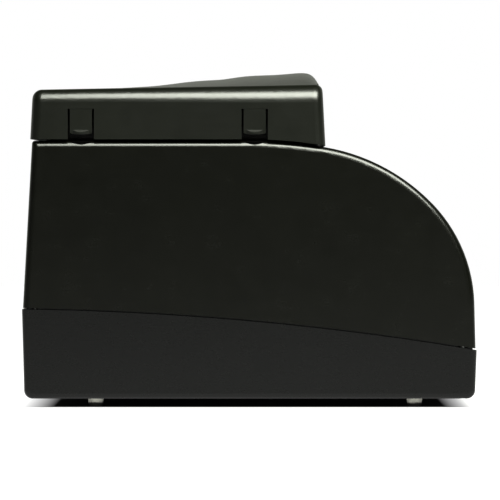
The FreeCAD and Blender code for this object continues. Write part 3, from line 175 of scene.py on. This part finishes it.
def moulded_plastic(name, colour, roughness=0.42, grain=0.0006, depth=0.00003, specular=0.5):
    """Moulded plastic: spark-eroded grain, slight tonal drift, and faint rubbed patches."""
    m = Material(name, specular_ior_level=specular)
    fine = m.noise(grain, 2.0)
    coarse = m.noise(grain * 4.2, 3.0)
    drift = m.noise(0.09, 3.0)
    rubbed = m.noise(0.022, 5.0, 0.7)
    scratches = m.noise(0.004, 2.0, 0.6, m.stretched((1.0, 0.06, 1.0)))
    tone = m.mix(m.spread(drift, 0.0, 1.0), shade(colour, 0.86), shade(colour, 1.14))
    tone = m.mix(m.spread(fine, 0.0, 0.35, 0.4, 0.75), tone, shade(colour, 1.6))
    m.set("Base Color", tone)
    rough = m.spread(rubbed, roughness - 0.012, roughness + 0.015)
    rough = m.math("ADD", rough, m.spread(scratches, -0.004, 0.006, 0.35, 0.65))
    m.set("Roughness", rough)
    relief = m.bump(coarse, depth * 1.5, 0.5)
    m.set("Normal", m.bump(fine, depth, 0.8, relief))
    return m.material


def key_plastic(name, colour):
    """Key caps: finer and shallower grain than the case."""
    return moulded_plastic(name, colour, 0.4, 0.0004, 0.00001)


def polished_plastic(name, colour, roughness=0.22):
    """Smooth plastic with faint flow marks."""
    m = Material(name, specular_ior_level=0.5)
    flow = m.noise(0.02, 3.0, 0.5, m.stretched((1.0, 0.3, 1.0)))
    specks = m.noise(0.0011, 2.0)
    m.set("Base Color", m.mix(m.spread(flow, 0.0, 1.0), shade(colour, 0.9), shade(colour, 1.1)))
    m.set("Roughness", m.spread(specks, roughness - 0.03, roughness + 0.05))
    m.set("Normal", m.bump(flow, 0.00012, 0.3))
    return m.material


def rubber(name, colour, roughness=0.75, painted_shade_height=None):
    """Rubber with smudges; below the given height it is painted dark, a painted shade where the feet meet the
    floor.
    """
    m = Material(name, specular_ior_level=0.35)
    grain = m.noise(0.0008, 3.0)
    smudge = m.noise(0.006, 4.0)
    tone = m.mix(m.spread(smudge, 0.0, 1.0), shade(colour, 0.82), shade(colour, 1.1))
    # Painted shade: towards its bottom the rubber's colour is made nearly black.
    if painted_shade_height:
        split = m.add("ShaderNodeSeparateXYZ")
        m.link(m.place, split.inputs["Vector"])
        height = m.math("ADD", split.outputs["Z"], m.spread(smudge, -0.0006, 0.0006))
        painted_shade_mask = m.spread(height, 1.0, 0.0, painted_shade_height - 0.0008, painted_shade_height + 0.0008)
        tone = m.mix(painted_shade_mask, tone, shade(colour, 0.03))
    m.set("Base Color", tone)
    m.set("Roughness", m.spread(grain, roughness - 0.07, roughness + 0.1))
    m.set("Normal", m.bump(grain, 0.00006, 0.7))
    return m.material


def sheet_metal(name, colour, roughness=0.32, spangle=True):
    """Plated or rolled steel: brush lines along Y, and the broken tone of zinc."""
    m = Material(name, metallic=1.0, anisotropic=0.35)
    brush = m.noise(0.0009, 3.0, 0.6, m.stretched((1.0, 0.03, 1.0)))
    patches = m.add("ShaderNodeTexVoronoi")
    patches.inputs["Scale"].default_value = 130.0
    m.link(m.place, patches.inputs["Vector"])
    tone = m.mix(m.spread(brush, 0.0, 1.0), shade(colour, 0.8), shade(colour, 1.12))
    if spangle:
        tone = m.mix(m.math("MULTIPLY", patches.outputs["Distance"], 0.5), tone, shade(colour, 0.6))
    m.set("Base Color", tone)
    m.set("Roughness", m.spread(brush, roughness - 0.07, roughness + 0.1))
    m.set("Normal", m.bump(brush, 0.00004, 0.4))
    return m.material


def machined_metal(name, colour, roughness=0.18):
    """Turned and plated metal with fine tool marks and handling haze."""
    m = Material(name, metallic=1.0)
    haze = m.noise(0.004, 4.0)
    marks = m.noise(0.0004, 2.0)
    m.set("Base Color", m.mix(m.spread(haze, 0.0, 1.0), shade(colour, 0.85), shade(colour, 1.08)))
    m.set("Roughness", m.spread(haze, roughness - 0.05, roughness + 0.12))
    m.set("Normal", m.bump(marks, 0.00001, 0.5))
    return m.material


def painted_metal(name, colour, roughness=0.38):
    """Sprayed paint with orange peel and lighter rubbed patches."""
    m = Material(name, specular_ior_level=0.5)
    peel = m.noise(0.0022, 2.0)
    worn = m.noise(0.03, 6.0, 0.7)
    tone = m.mix(m.spread(worn, 0.0, 1.0, 0.45, 0.75), colour, shade(colour, 1.5))
    m.set("Base Color", tone)
    m.set("Roughness", m.spread(worn, roughness - 0.04, roughness + 0.1))
    m.set("Normal", m.bump(peel, 0.00005, 0.6))
    return m.material


def circuit_board(name):
    """Solder mask with tracks, and darker components above the board's face."""
    m = Material(name, specular_ior_level=0.5)
    tracks = m.add("ShaderNodeTexBrick", offset=0.5, squash=0.6)
    tracks.inputs["Scale"].default_value = 60.0
    tracks.inputs["Mortar Size"].default_value = 0.03
    tracks.inputs["Color1"].default_value = (0.012, 0.085, 0.03, 1)
    tracks.inputs["Color2"].default_value = (0.02, 0.12, 0.04, 1)
    tracks.inputs["Mortar"].default_value = (0.04, 0.2, 0.07, 1)
    m.link(m.place, tracks.inputs["Vector"])
    grain = m.noise(0.003, 3.0)
    parts = m.spread(grain, 0.0, 0.4)
    m.set("Base Color", m.mix(parts, tracks.outputs["Color"], (0.01, 0.05, 0.02)))
    m.set("Roughness", m.spread(grain, 0.28, 0.5))
    m.set("Normal", m.bump(tracks.outputs["Fac"], 0.00004, 0.5))
    return m.material


def laminations(name):
    """A transformer's stack of varnished steel, with the stack's edges along X."""
    m = Material(name, metallic=0.6)
    wave = m.add("ShaderNodeTexWave", wave_type="BANDS", bands_direction="X")
    wave.inputs["Scale"].default_value = 300.0
    wave.inputs["Distortion"].default_value = 0.6
    m.link(m.place, wave.inputs["Vector"])
    varnish = m.noise(0.01, 4.0)
    tone = m.mix(wave.outputs["Fac"], (0.05, 0.045, 0.04), (0.16, 0.14, 0.12))
    m.set("Base Color", m.mix(m.spread(varnish, 0.0, 0.5), tone, (0.2, 0.09, 0.03)))
    m.set("Roughness", m.spread(varnish, 0.3, 0.55))
    m.set("Normal", m.bump(wave.outputs["Fac"], 0.0001, 0.5))
    return m.material


def winding(name, colour):
    """Coil wire under tape: close turns around Z."""
    m = Material(name, specular_ior_level=0.6)
    wave = m.add("ShaderNodeTexWave", wave_type="BANDS", bands_direction="Z")
    wave.inputs["Scale"].default_value = 420.0
    wave.inputs["Distortion"].default_value = 0.3
    m.link(m.place, wave.inputs["Vector"])
    m.set("Base Color", m.mix(wave.outputs["Fac"], shade(colour, 0.5), shade(colour, 1.3)))
    m.set("Roughness", m.spread(m.noise(0.004), 0.25, 0.45))
    m.set("Normal", m.bump(wave.outputs["Fac"], 0.0002, 0.7))
    return m.material


def paper(name, colour):
    """Till paper: fibres, and the fine lines of the wound edge."""
    m = Material(name, specular_ior_level=0.2)
    fibres = m.noise(0.0012, 5.0, 0.7, m.stretched((1.0, 0.4, 0.4)))
    layers = m.noise(0.0004, 1.0)
    m.set("Base Color", m.mix(m.spread(fibres, 0.0, 1.0), shade(colour, 0.93), colour))
    m.set("Roughness", m.spread(fibres, 0.75, 0.95))
    m.set("Normal", m.bump(layers, 0.00004, 0.6))
    return m.material


def filter_glass(name, tint):
    """The smoked filter over a display."""
    m = Material(name, transmission_weight=0.9, ior=1.49, specular_ior_level=0.5)
    haze = m.noise(0.02, 4.0)
    m.set("Base Color", m.mix(m.spread(haze, 0.0, 1.0), shade(tint, 0.92), shade(tint, 1.08)))
    m.set("Roughness", m.spread(haze, 0.05, 0.11))
    m.set("Normal", m.bump(haze, 0.00003, 0.2))
    return m.material


def lit_segment(name, colour, strength):
    """A display segment that glows, a little uneven in tone."""
    m = Material(name, roughness=0.5, emission_strength=strength)
    flicker = m.noise(0.0015, 2.0)
    tone = m.mix(m.spread(flicker, 0.0, 1.0), shade(colour, 0.85), colour)
    m.set("Base Color", tone)
    m.set("Emission Color", tone)
    return m.material


def printed_ink(name, colour):
    """Printed ink that covers a little unevenly."""
    m = Material(name, specular_ior_level=0.3)
    cover = m.noise(0.0009, 3.0)
    m.set("Base Color", m.mix(m.spread(cover, 0.0, 1.0), shade(colour, 0.9), colour))
    m.set("Roughness", m.spread(cover, 0.5, 0.65))
    return m.material


CASE = (0.0020, 0.0022, 0.0012)
MATERIALS = {
    "case_base": moulded_plastic("case_base", (0.0020, 0.0021, 0.0020), 0.27, specular=0.33),
    "case_body": moulded_plastic("case_body", CASE, 0.26, specular=0.42),
    "case_cover": moulded_plastic("case_cover", (0.0036, 0.0042, 0.0026), 0.31),
    "drawer_front": moulded_plastic("drawer_front", shade(CASE, 1.3), 0.40),
    # The feet carry painted shade on their lowest 3.8 mm.
    "foot_rubber": rubber("foot_rubber", (0.86, 0.85, 0.76), painted_shade_height=0.0038),
    "screw_steel": machined_metal("screw_steel", (0.5, 0.5, 0.48), 0.3),
    "plated_steel": sheet_metal("plated_steel", (0.56, 0.57, 0.58)),
    "drawer_steel": painted_metal("drawer_steel", (0.022, 0.022, 0.023)),
    "lock_metal": machined_metal("lock_metal", (0.66, 0.65, 0.62)),
    "tray_plastic": moulded_plastic("tray_plastic", (0.020, 0.021, 0.022), 0.46, 0.0009),
    "clip_plastic": polished_plastic("clip_plastic", (0.032, 0.034, 0.038)),
    "roller_nylon": polished_plastic("roller_nylon", (0.72, 0.70, 0.64), 0.4),
    "latch_steel": sheet_metal("latch_steel", (0.46, 0.45, 0.43), 0.35, False),
    "coil_winding": winding("coil_winding", (0.34, 0.13, 0.05)),
    "core_steel": machined_metal("core_steel", (0.42, 0.42, 0.43), 0.25),
    "circuit_board": circuit_board("circuit_board"),
    "transformer": laminations("transformer"),
    "inlet_plastic": polished_plastic("inlet_plastic", (0.012, 0.012, 0.013), 0.3),
    "bezel_plastic": moulded_plastic("bezel_plastic", (0.020, 0.021, 0.022), 0.42, 0.0005),
    "membrane_film": moulded_plastic("membrane_film", (0.085, 0.088, 0.084), 0.5, 0.0004, 0.00001),
    "key_light": key_plastic("key_light", (0.20, 0.195, 0.175)),
    "key_dark": key_plastic("key_dark", (0.030, 0.032, 0.036)),
    "key_clear": key_plastic("key_clear", (0.15, 0.012, 0.009)),
    "key_total": key_plastic("key_total", (0.010, 0.040, 0.10)),
    "display_filter": filter_glass("display_filter", (0.10, 0.17, 0.15)),
    "display_tube": polished_plastic("display_tube", (0.010, 0.016, 0.016), 0.12),
    "printer_plastic": moulded_plastic("printer_plastic", (0.045, 0.046, 0.05), 0.5),
    "head_metal": sheet_metal("head_metal", (0.68, 0.68, 0.68), 0.3, False),
    "motor_steel": sheet_metal("motor_steel", (0.48, 0.48, 0.48), 0.3, False),
    "platen_rubber": rubber("platen_rubber", (0.02, 0.02, 0.021), 0.6),
    "gear_plastic": polished_plastic("gear_plastic", (0.68, 0.65, 0.56), 0.4),
    "till_paper": paper("till_paper", (0.82, 0.81, 0.77)),
}

for node, piece in nodes.items():
    piece.data.materials.clear()
    piece.data.materials.append(MATERIALS[slot_of_node[node]])

INK_WHITE = printed_ink("ink_white", (0.60, 0.60, 0.57))
INK_DARK = printed_ink("ink_dark", (0.008, 0.008, 0.009))
SEGMENT_ON = lit_segment("segment_on", (0.10, 0.95, 0.62), 3.0)
SEGMENT_OFF = printed_ink("segment_off", (0.014, 0.030, 0.026))

# ---------------------------------------------------------------- planes of the CAD model


class Plane:
    """Axes across, up and out of a flat panel, seen from outside."""

    def __init__(self, out, across=(1, 0, 0)):
        self.out = Vector(out).normalized()
        self.across = Vector(across)
        self.up = self.out.cross(self.across)

    def extent(self, node):
        """(lowest, highest) of a node's vertices along across, up and out."""
        spots = [vertex.co for vertex in nodes[node].data.vertices]
        axes = (self.across, self.up, self.out)
        return [(min(s.dot(a) for s in spots), max(s.dot(a) for s in spots)) for a in axes]

    def point(self, across, up, out):
        """The place at those distances along the panel's axes."""
        return self.across * across + self.up * up + self.out * out


def press_axis(joint_name):
    """The direction opposite to a key's travel."""
    joint = [j for j in frame["joints"] if j["name"] == joint_name][0]
    return -Vector(joint["axis"])


def widest_normal(node):
    """The outward normal of a node's largest flat face that looks towards the operator."""
    totals = {}
    for polygon in nodes[node].data.polygons:
        if polygon.normal.y < -0.1:
            key = tuple(round(c, 3) for c in polygon.normal)
            totals[key] = totals.get(key, 0.0) + polygon.area
    return Vector(max(totals, key=totals.get))


DECK = Plane(press_axis("key_5_press"))
RISER = Plane(widest_normal("operator_display_window"))
REAR = Plane((0, 1, 0), across=(-1, 0, 0))

# ---------------------------------------------------------------- pieces


def piece_from(name, mesh, material, body):
    """A piece of the visual model that moves with a body."""
    piece = bpy.data.objects.new(name, mesh)
    bpy.context.scene.collection.objects.link(piece)
    mesh.materials.clear()
    mesh.materials.append(material)
    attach(piece, body)
    return piece


DISH_RADIUS = 0.026
DISH_CORE = 0.0044  # half the width of the strip in which the lowest vertex is looked for
DISH_DEPTH_LIMIT = 0.0025
LONGEST_FLAT = 0.002  # longer edges of bent lettering are split
DISH_INK_LIFT = 0.00012
FILM_INK_LIFT = 0.00006
MODE_INK_DROP = 0.00038  # from the membrane's face down to the ink on the bezel
MODE_RING = 0.0172
LEGEND_SIZES = {1: 0.0105, 2: 0.0085, 5: 0.0048}  # by number of letters
DEPARTMENT_SIZE = 0.0075
MODE_SIZE = 0.0036


def text_mesh(name, text, size):
    """Flat lettering as a mesh, centred on the origin."""
    curve = bpy.data.curves.new(name, "FONT")
    curve.body = text
    curve.size = size
    curve.align_x = "CENTER"
    curve.align_y = "CENTER"
    curve.resolution_u = 3
    carrier = bpy.data.objects.new(name + "_curve", curve)
    bpy.context.scene.collection.objects.link(carrier)
    bpy.context.view_layer.update()
    mesh = bpy.data.meshes.new_from_object(carrier)
    bpy.data.objects.remove(carrier)
    bpy.data.curves.remove(curve)
    spots = [vertex.co for vertex in mesh.vertices]
    low = Vector((min(s.x for s in spots), min(s.y for s in spots), 0))
    high = Vector((max(s.x for s in spots), max(s.y for s in spots), 0))
    mesh.transform(Matrix.Translation(-(low + high) / 2))
    return mesh


def lettering(name, text, size, plane, across, up, out, material, body, dish=None):
    """Lettering on a plane, or bent to a dish of that radius that runs up the panel."""
    mesh = text_mesh(name, text, size)
    shaped = bmesh.new()
    shaped.from_mesh(mesh)
    if dish:
        long_edges = [edge for edge in shaped.edges if edge.calc_length() > LONGEST_FLAT]
        bmesh.ops.subdivide_edges(shaped, edges=long_edges, cuts=2)
    for vertex in shaped.verts:
        x, y = vertex.co.x, vertex.co.y
        lift = dish - math.sqrt(dish**2 - x**2) if dish else 0.0
        vertex.co = plane.point(across + x, up + y, out + lift)
    shaped.to_mesh(mesh)
    shaped.free()
    return piece_from(name, mesh, material, body)


def dish_floor(node):
    """Height of a key's lowest vertex near its middle and top: 1.3 mm under the dish's floor."""
    (x0, x1), _, (_, top) = DECK.extent(node)
    middle = (x0 + x1) / 2
    spots = [vertex.co for vertex in nodes[node].data.vertices]
    heights = [spot.dot(DECK.out) for spot in spots if abs(spot.x - middle) < DISH_CORE]
    return min(height for height in heights if top - height < DISH_DEPTH_LIMIT)


def key_legends():
    """A legend for each key. It lies under the dished top, so it doesn't show."""
    legends = {f"key_{digit}": str(digit) for digit in range(10)}
    legends.update(
        key_00="00",
        key_point=".",
        key_clear="C",
        key_multiply="X",
        key_minus="-",
        key_subtotal="ST",
        key_total="TOTAL",
    )
    for node, text in legends.items():
        (x0, x1), (v0, v1), _ = DECK.extent(node)
        lettering(
            f"legend_{node}",
            text,
            LEGEND_SIZES[len(text)],
            DECK,
            (x0 + x1) / 2,
            (v0 + v1) / 2,
            dish_floor(node) + DISH_INK_LIFT,
            INK_DARK if slot_of_node[node] == "key_light" else INK_WHITE,
            body_of_node[node],
            dish=DISH_RADIUS,
        )


def membrane_legends():
    """Numbers on the department pads, by rows from the top."""
    (x0, x1), (v0, v1), (_, top) = DECK.extent("plu_membrane")
    columns, rows = 5, 4
    body = body_of_node["plu_membrane"]
    out = top + FILM_INK_LIFT
    for row in range(rows):
        for column in range(columns):
            number = row * columns + column + 1
            name = f"department_{number}"
            across = x0 + (column + 0.5) * (x1 - x0) / columns
            up = v1 - (row + 0.5) * (v1 - v0) / rows
            lettering(name, str(number), DEPARTMENT_SIZE, DECK, across, up, out, INK_DARK, body)


def mode_legends():
    """Names of the mode lock's positions around its ring."""
    (x0, x1), (v0, v1), _ = DECK.extent("mode_lock")
    body = body_of_node["keyboard_bezel"]
    _, _, (_, film_top) = DECK.extent("plu_membrane")
    out = film_top - MODE_INK_DROP
    for text, degrees in (("OFF", 150), ("REG", 90), ("X", 40), ("Z", -10)):
        name = f"mode_{text.lower()}"
        turn = math.radians(degrees)
        across = (x0 + x1) / 2 + MODE_RING * math.cos(turn)
        up = (v0 + v1) / 2 + MODE_RING * math.sin(turn)
        lettering(name, text, MODE_SIZE, DECK, across, up, out, INK_WHITE, body)


# Bars of a seven-segment digit, from and to, in shares of its width and height
SEGMENTS = {
    "a": ((0, 1), (1, 1)),
    "b": ((1, 1), (1, 0.5)),
    "c": ((1, 0.5), (1, 0)),
    "d": ((0, 0), (1, 0)),
    "e": ((0, 0.5), (0, 0)),
    "f": ((0, 1), (0, 0.5)),
    "g": ((0, 0.5), (1, 0.5)),
}
LIT = {"0": "abcdef", " ": ""}
DECIMALS = 2
DIGIT_SLANT = 0.14
DIGIT_WIDTH, DIGIT_INDENT, POINT_GAP = 0.52, 0.18, 0.14  # shares of the digits' pitch
BAR_WIDTH, POINT_RADIUS = 0.11, 0.06  # shares of the digits' height
POINT_SIDES = 10


def digit_bars(mesh, plane, across, up, out, width, height, lit):
    """Adds to a bmesh the wanted bars of a slanted seven-segment digit."""
    bar = height * BAR_WIDTH
    for letter, (start, end) in SEGMENTS.items():
        if letter not in lit:
            continue
        a = Vector((start[0] * width, start[1] * height))
        b = Vector((end[0] * width, end[1] * height))
        along = (b - a).normalized()
        a, b = a + along * bar * 0.7, b - along * bar * 0.7
        side = Vector((-along.y, along.x)) * bar / 2
        shape = [a, a + along * bar / 2 + side, b - along * bar / 2 + side, b]
        shape += [b - along * bar / 2 - side, a + along * bar / 2 - side]
        ring = []
        for spot in shape:
            x = spot.x + DIGIT_SLANT * spot.y
            ring.append(mesh.verts.new(plane.point(across + x, up + spot.y, out)))
        mesh.faces.new(ring)


def decimal_point(mesh, plane, across, up, out, radius):
    """Adds to a bmesh the round point after a digit."""
    ring = []
    for step in range(POINT_SIDES):
        turn = 2 * math.pi * step / POINT_SIDES
        x, y = across + radius * math.cos(turn), up + radius * math.sin(turn)
        ring.append(mesh.verts.new(plane.point(x, y, out)))
    mesh.faces.new(ring)


def display_digits(name, plane, left, right, low, high, out, text, body):
    """A row of digits: lit ones, and the faint unlit bars of the rest."""
    pitch = (right - left) / len(text)
    width, height = pitch * DIGIT_WIDTH, high - low
    for label, material in (("lit", SEGMENT_ON), ("unlit", SEGMENT_OFF)):
        shaped = bmesh.new()
        for place, sign in enumerate(text):
            bars = set(LIT[sign]) if label == "lit" else set(SEGMENTS) - set(LIT[sign])
            across = left + (place + DIGIT_INDENT) * pitch
            digit_bars(shaped, plane, across, low, out, width, height, bars)
            if label == "lit" and place == len(text) - 1 - DECIMALS:
                point_across = across + width + pitch * POINT_GAP
                decimal_point(shaped, plane, point_across, low, out, height * POINT_RADIUS)
        mesh = bpy.data.meshes.new(f"{name}_{label}")
        shaped.to_mesh(mesh)
        shaped.free()
        piece_from(f"{name}_{label}", mesh, material, body)


def operator_digits():
    """Ten digits behind the window that the operator reads."""
    (x0, x1), (v0, v1), (back, _) = RISER.extent("operator_display_window")
    body = body_of_node["operator_display_module"]
    side_margin, half_height, depth = 0.024, 0.0105, 0.0036
    left, right = x0 + side_margin, x1 - side_margin
    middle = (v0 + v1) / 2
    low, high = middle - half_height, middle + half_height
    display_digits("operator_digits", RISER, left, right, low, high, back - depth, "       000", body)


def customer_digits():
    """Eight digits on the tube of the display at the back."""
    box_low, box_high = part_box("customer_display_module")
    body = body_of_node["customer_display_module"]
    half_width, below, above, lift = 0.045, 0.0138, 0.0075, 0.0001
    middle = (box_low.x + box_high.x) / 2
    left, right = middle - half_width, middle + half_width
    low, high = box_low.z + below, box_high.z - above
    display_digits("customer_digits", REAR, left, right, low, high, box_high.y + lift, "     000", body)


key_legends()
membrane_legends()
mode_legends()
operator_digits()
customer_digits()

# ---------------------------------------------------------------- room, light and camera

LIGHT_TINT = (0.97, 1.0, 0.90)
FLOOR_TONE = (0.14, 0.14, 0.14)
FLOOR_HALF_SIZE = 6.0
FLOOR_DROP = 0.0002  # below the feet
GLOW_START = -0.03  # the floor's glow begins that far inside the register's outline; inside it the glow is left out, a painted shadow
GLOW_END = (-2.2, -1.7)  # X over which the glow fades out towards the camera
ROOM_LIGHT = 0.005
BACKDROP_LIGHT = 0.68
BACKDROP_FULL, BACKDROP_TOP = 0.25, 0.65  # sine of the elevation where the backdrop ends
SOFTBOX_PLACE, SOFTBOX_AIM = (-1.4, -0.75, 2.0), (-0.2, -0.75, 0.25)
SOFTBOX_SIZE, SOFTBOX_POWER = (2.2, 1.5), 270.0  # metres along Y and up its slope, watts
CAMERA_DISTANCE, CAMERA_HEIGHT = 5.0, 0.205
VIEW_WIDTH = 0.4667  # at the register's near side
VIEW_MIDDLE_Y, VIEW_MIDDLE_Z = -0.0006, 0.1472


def floor_material():
    """Pale paper that glows white outside the register's outline; under it the glow is left out, a painted shadow
    over the real one.
    """
    m = Material("studio_floor", specular_ior_level=0.1)
    drift = m.noise(0.6, 2.0)
    m.set("Base Color", m.mix(m.spread(drift, 0.0, 1.0), shade(FLOOR_TONE, 0.99), FLOOR_TONE))
    m.set("Roughness", m.spread(drift, 0.85, 0.95))
    split = m.add("ShaderNodeSeparateXYZ")
    m.link(m.place, split.inputs["Vector"])
    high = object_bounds()[1]
    aside = m.math("SUBTRACT", m.math("ABSOLUTE", split.outputs["X"], 0.0), high.x)
    along = m.math("SUBTRACT", m.math("ABSOLUTE", split.outputs["Y"], 0.0), high.y)
    # Painted shadow: no glow under the register's outline.
    glow = m.spread(m.math("MAXIMUM", aside, along), 0.0, 1.0, GLOW_START, 0.0)
    fade = m.spread(split.outputs["X"], 0.0, 1.0, *GLOW_END)
    m.shader.inputs["Emission Color"].default_value = (1, 1, 1, 1)
    m.set("Emission Strength", m.math("MULTIPLY", glow, fade))
    return m.material


def studio_floor():
    """The sheet that the register stands on."""
    shaped = bmesh.new()
    bmesh.ops.create_grid(shaped, x_segments=4, y_segments=4, size=FLOOR_HALF_SIZE)
    mesh = bpy.data.meshes.new("studio_floor")
    shaped.to_mesh(mesh)
    shaped.free()
    floor = bpy.data.objects.new("studio_floor", mesh)
    floor.location = (0, 0, -FLOOR_DROP)
    mesh.materials.append(floor_material())
    bpy.context.scene.collection.objects.link(floor)
    floor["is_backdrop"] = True


def studio_world():
    """A white backdrop low behind the register, white to the camera, and near dark elsewhere."""
    world = bpy.data.worlds.new("studio")
    bpy.context.scene.world = world
    world.use_nodes = True
    tree = world.node_tree
    tree.nodes.clear()
    output = tree.nodes.new("ShaderNodeOutputWorld")
    mixer = tree.nodes.new("ShaderNodeMixShader")
    rays = tree.nodes.new("ShaderNodeLightPath")
    dim = tree.nodes.new("ShaderNodeBackground")
    white = tree.nodes.new("ShaderNodeBackground")
    split = tree.nodes.new("ShaderNodeSeparateXYZ")
    tree.links.new(tree.nodes.new("ShaderNodeTexCoord").outputs["Generated"], split.inputs[0])
    far = tree.nodes.new("ShaderNodeMapRange")
    low = tree.nodes.new("ShaderNodeMapRange")
    for node, axis, start, end, first, last in (
        (far, "X", 0.0, 0.5, 0.0, 1.0),
        (low, "Z", BACKDROP_FULL, BACKDROP_TOP, 1.0, 0.0),
    ):
        node.inputs["From Min"].default_value = start
        node.inputs["From Max"].default_value = end
        node.inputs["To Min"].default_value = first
        node.inputs["To Max"].default_value = last
        tree.links.new(split.outputs[axis], node.inputs["Value"])
    both = tree.nodes.new("ShaderNodeMath")
    both.operation = "MULTIPLY_ADD"
    tree.links.new(far.outputs["Result"], both.inputs[0])
    tree.links.new(low.outputs["Result"], both.inputs[1])
    both.inputs[2].default_value = ROOM_LIGHT
    dim.inputs["Color"].default_value = (*LIGHT_TINT, 1)
    lift = tree.nodes.new("ShaderNodeMath")
    lift.operation = "MULTIPLY"
    lift.inputs[1].default_value = BACKDROP_LIGHT
    tree.links.new(both.outputs[0], lift.inputs[0])
    tree.links.new(lift.outputs[0], dim.inputs["Strength"])
    white.inputs["Color"].default_value = (1, 1, 1, 1)
    white.inputs["Strength"].default_value = 1.0
    tree.links.new(rays.outputs["Is Camera Ray"], mixer.inputs["Fac"])
    tree.links.new(dim.outputs["Background"], mixer.inputs[1])
    tree.links.new(white.outputs["Background"], mixer.inputs[2])
    tree.links.new(mixer.outputs["Shader"], output.inputs["Surface"])


def placed_facing(thing, place, target):
    """Puts a light or a camera at a place, turned towards a target."""
    thing.location = place
    thing.rotation_mode = "QUATERNION"
    thing.rotation_quaternion = (Vector(target) - thing.location).to_track_quat("-Z", "Y")
    bpy.context.scene.collection.objects.link(thing)


def overhead_softbox():
    """One large soft light above and in front of the register, on the camera's side."""
    data = bpy.data.lights.new("overhead", "AREA")
    data.shape = "RECTANGLE"
    data.size, data.size_y = SOFTBOX_SIZE
    data.energy = SOFTBOX_POWER
    data.color = LIGHT_TINT
    placed_facing(bpy.data.objects.new("overhead", data), SOFTBOX_PLACE, SOFTBOX_AIM)


def photo_camera():
    """A long lens square to the register's left side, looking very slightly down."""
    data = bpy.data.cameras.new("camera")
    data.sensor_width = 36.0
    data.dof.use_dof = False
    data.lens = data.sensor_width * CAMERA_DISTANCE / VIEW_WIDTH
    data.clip_end = 50.0
    camera = bpy.data.objects.new("camera", data)
    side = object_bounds()[0].x
    place = (side - CAMERA_DISTANCE, VIEW_MIDDLE_Y, CAMERA_HEIGHT)
    placed_facing(camera, place, (side, VIEW_MIDDLE_Y, VIEW_MIDDLE_Z))
    bpy.context.scene.camera = camera


studio_floor()
studio_world()
overhead_softbox()
photo_camera()
bpy.context.scene.view_settings.view_transform = "Standard"
bpy.context.scene.view_settings.gamma = 0.85
